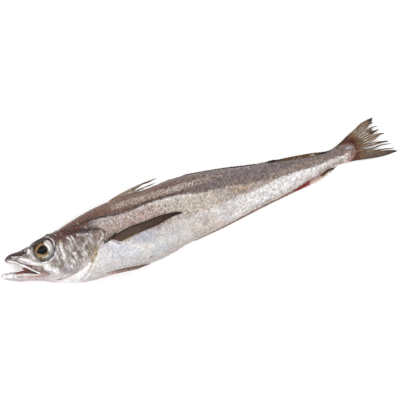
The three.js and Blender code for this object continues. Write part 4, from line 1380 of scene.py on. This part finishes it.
def tail_place(upper, lower, rays, frayed, seed):
    """One frayed lobe of the tail fin, between two paths from root to tip."""
    top_path, low_path = path(upper), path(lower)

    def place(across, down):
        wave = ray_wave(across, rays)
        short = 0.03 * (1 - wave) + 0.06 * (0.5 + wobble(round(across * rays) * 3.7, seed, 0, 1.0, 2.3))
        short *= frayed
        reach = down * (1 - short * ease(down, 0.55, 1.0))
        top, low = top_path(reach), low_path(reach)
        along, up = mix(top[0], low[0], across), mix(top[1], low[1], across)
        out = 0.3 * wave * ease(down, 1.2, 0.3)
        out += 0.9 * wobble(along, up, 0, 13.0, 9.1) * ease(along, 306, 322)
        return along, up, out
    return place


def tail_finish(bark, pale, tip, edge=NO_EDGE):
    """Tawny at the root, then beige with pale webs or dark as bark, with dark tips. A dark edge runs from one
    place across to another, by an amount."""
    def finish(along, up, across, down):
        spread = math.hypot(along - TAIL_FAN.x, up - TAIL_FAN.y)
        colour = list(tone["beige"])
        lay(colour, [
            ("bark", bark + 0.35 * wobble(along, up, 0, 5.0, 3.0)),
            ("sand", 0.4 * pale * ease(abs(spread - 21), 7, 3)),
            ("tawny", 0.9 * ease(spread, 19.5, 15.5) * (1 - 0.4 * bark)),
            ("rust", 0.85 * ease(spread + 2.6 * wobble(along, up, 0, 4.0, 6.4), 15.2, 12.0)),
            ("brown", 0.5 * ease(wobble(along, up, 0, 3.0, 1.0), 0.0, 0.4) + 0.4 * ease(down, 0.6, 0.95)),
            ("tar", tip * ease(down, 0.86, 0.97)),
            ("umber", edge[2] * ease(across, edge[0], edge[1]) * ease(down, 0.1, 0.3)),
        ])
        return colour, 0.8 + 0.4 * pale * ease(abs(spread - 22), 11, 4)
    return finish


def tail_parts():
    """The sheets of the tail fin: its lobes and its free rays."""
    parts = []
    for number, (rays, bark, pale, tip, frayed, edge, upper, lower) in enumerate(TAIL_LOBES):
        place = tail_place(upper, lower, rays, frayed, 3.0 + number)
        parts.append((rays * 10, 60, rays, place, tail_finish(bark, pale, tip, edge)))
    for number, points in enumerate(TAIL_RAYS):
        half = [mix(0.4, 0.18, i / (len(points) - 1)) for i in range(len(points))]
        upper = [(x, y + h) for (x, y), h in zip(points, half)]
        lower = [(x, y - h) for (x, y), h in zip(points, half)]
        parts.append((4, 16, 1, tail_place(upper, lower, 1, 0.3, 13.0 + number), tail_finish(0.7, 0.0, 0.6)))
    return parts


def make_fins(material):
    """Every fin, thin and ribbed by its rays."""
    for side, word in ((1, "left"), (-1, "right")):
        pectoral = (PECTORAL_RAYS * 10, 90, PECTORAL_RAYS, pectoral_place(side), pectoral_finish)
        fin_sheet("pectoral_fin_" + word, material, 0.45, [pectoral])
        pelvic = (PELVIC_RAYS * 6, 30, PELVIC_RAYS, pelvic_place(side), pelvic_finish)
        fin_sheet("pelvic_fin_" + word, material, 0.4, [pelvic])
    groups = []
    for number, group in enumerate(FIRST_DORSAL):
        finish = first_dorsal_finish(number)
        groups.append((group[0] * 6, 40, group[0], first_dorsal_place(*group), finish))
    fin_sheet("first_dorsal_fin", material, 0.45, groups)
    on_back = folded_place(158, 287, back_line, second_dorsal_height, 1)
    second = (FOLDED_RAYS * 6, 10, FOLDED_RAYS, on_back, second_dorsal_finish)
    fin_sheet("second_dorsal_fin", material, 0.5, [second])
    on_belly = folded_place(152, 288.5, belly_line, anal_height, -1)
    fin_sheet("anal_fin", material, 0.5, [(FOLDED_RAYS * 6, 12, FOLDED_RAYS, on_belly, anal_finish)])
    fin_sheet("tail_fin", material, 0.5, tail_parts())


# ---- The mouth: tongue and teeth ----


def make_tongue(material):
    """The tongue: a rounded tapering body on the floor of the mouth."""
    bm = bmesh.new()
    bmesh.ops.create_uvsphere(bm, u_segments=40, v_segments=24, radius=1.0)
    for vert in bm.verts:
        x, y, z = vert.co
        along = 26.5 + 8.5 * x
        up = mix(-2.6, -5.8, 0.5 + 0.5 * x) + 1.9 * z
        vert.co = laid(along, up, 3.2 * (0.75 + 0.25 * x) * y)
    return finish_closed_piece(bm, "tongue", material)


def make_teeth(material):
    """Small curved teeth along both jaws, a little uneven in size and lean."""
    rng = random.Random(17)
    bm = bmesh.new()
    rows = [(SNOUT + 1.5, 26.0, 15, upper_lip, True), (1.0, 12.0, 8, lower_lip, False)]
    for start, end, count, lip, upper in rows:
        for number in range(count):
            for side in (1, -1):
                along = mix(start, end, (number + rng.uniform(-0.2, 0.2)) / (count - 1))
                top, under, width, level = jaw_section(along, upper)
                _, out = oval(top, under, width, turn_at(top, under, level))
                length = rng.uniform(0.9, 1.6) * mix(1.0, 0.6, number / count)
                made = bmesh.ops.create_cone(
                    bm, cap_ends=True, segments=8, radius1=0.3, radius2=0.05, depth=length,
                )
                point = -1 if upper else 1
                root = Vector((along, lip(along) + 0.3 * point, side * max(out - 0.7, 0.2)))
                lean = rng.uniform(-0.25, 0.05)
                for vert in made["verts"]:
                    x, y, z = vert.co
                    down = z + length / 2
                    place = root + Vector((x - lean * down, point * (down - 0.5), y - side * 0.12 * down))
                    vert.co = laid(*place)
    return finish_closed_piece(bm, "teeth", material)


# ---- The fish ----

skin = make_skin(skin_material())
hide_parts("whiting")
wet_eye = eye_material()
make_eye(1, wet_eye)
make_eye(-1, wet_eye)
make_fins(fin_material())
make_tongue(soft_wet_material("moist_tongue", "#d67d76", "#a5544d", 4, 0.35))
make_teeth(soft_wet_material("ivory_tooth", "#d9c4b4", "#8a5a4a", 1, 0.3))

# ---- Floor, light and camera ----

FLOOR_SIZE = 12.0
PHOTO_PIXELS = 400
MM_PER_PIXEL = 0.8137  # of the photo, along the fish
FISH_TILT_DEG = 17.05  # the fish's axis in the picture rises to the right
VIEW_CENTRE = (172.9, 8.7)  # what the middle of the picture shows, as (along, up)
VIEW_HEIGHT_MM = 14.0
CAMERA_DISTANCE = 3.0
SURROUND_LIGHT = 0.66


def make_floor():
    """A plain pale floor that glows a little, so that the fish's shadow on it fades to white."""
    material, tree, shader = new_material("pale_glowing_floor")
    feed(tree, shader, {
        "Base Color": rgb("#fbfbfb"), "Roughness": 0.9,
        "Emission Color": rgb("#ffffff"), "Emission Strength": 0.2,
    })
    bm = bmesh.new()
    bmesh.ops.create_grid(bm, x_segments=1, y_segments=1, size=FLOOR_SIZE / 2)
    floor = new_object(bm, "floor", material)


def make_light(name, place, size, watts):
    """A soft square light that looks at the fish."""
    data = bpy.data.lights.new(name, "AREA")
    data.energy = watts
    data.size = size
    light = bpy.data.objects.new(name, data)
    light.location = place
    light.rotation_euler = (-Vector(place)).to_track_quat("-Z", "Y").to_euler()
    bpy.context.scene.collection.objects.link(light)


def make_world():
    """An even white surround."""
    world = bpy.data.worlds.new("white_surround")
    world.use_nodes = True
    background = world.node_tree.nodes["Background"]
    feed(world.node_tree, background, {"Color": rgb("#ffffff"), "Strength": SURROUND_LIGHT})
    bpy.context.scene.world = world


def make_camera():
    """The camera looks straight down, turned so that the fish rises to the right as in the photo."""
    data = bpy.data.cameras.new("camera")
    span = PHOTO_PIXELS * MM_PER_PIXEL * MM
    data.lens = data.sensor_width * (CAMERA_DISTANCE - VIEW_HEIGHT_MM * MM) / span
    data.clip_end = 50.0
    camera = bpy.data.objects.new("camera", data)
    middle = (ALONG_ZERO + VIEW_CENTRE[0] * MM, UP_ZERO + VIEW_CENTRE[1] * MM, CAMERA_DISTANCE)
    camera.matrix_world = Matrix.Translation(middle) @ Matrix.Rotation(math.radians(-FISH_TILT_DEG), 4, "Z")
    bpy.context.scene.collection.objects.link(camera)
    bpy.context.scene.camera = camera


make_floor()
make_light("key", (-0.5, 0.9, 1.3), 0.8, 9.5)
make_light("fill", (0.1, -1.2, 1.0), 0.9, 10)
make_light("rim", (0.9, 0.3, 1.0), 0.5, 4)
make_world()
make_camera()
bpy.context.scene.view_settings.view_transform = "Standard"
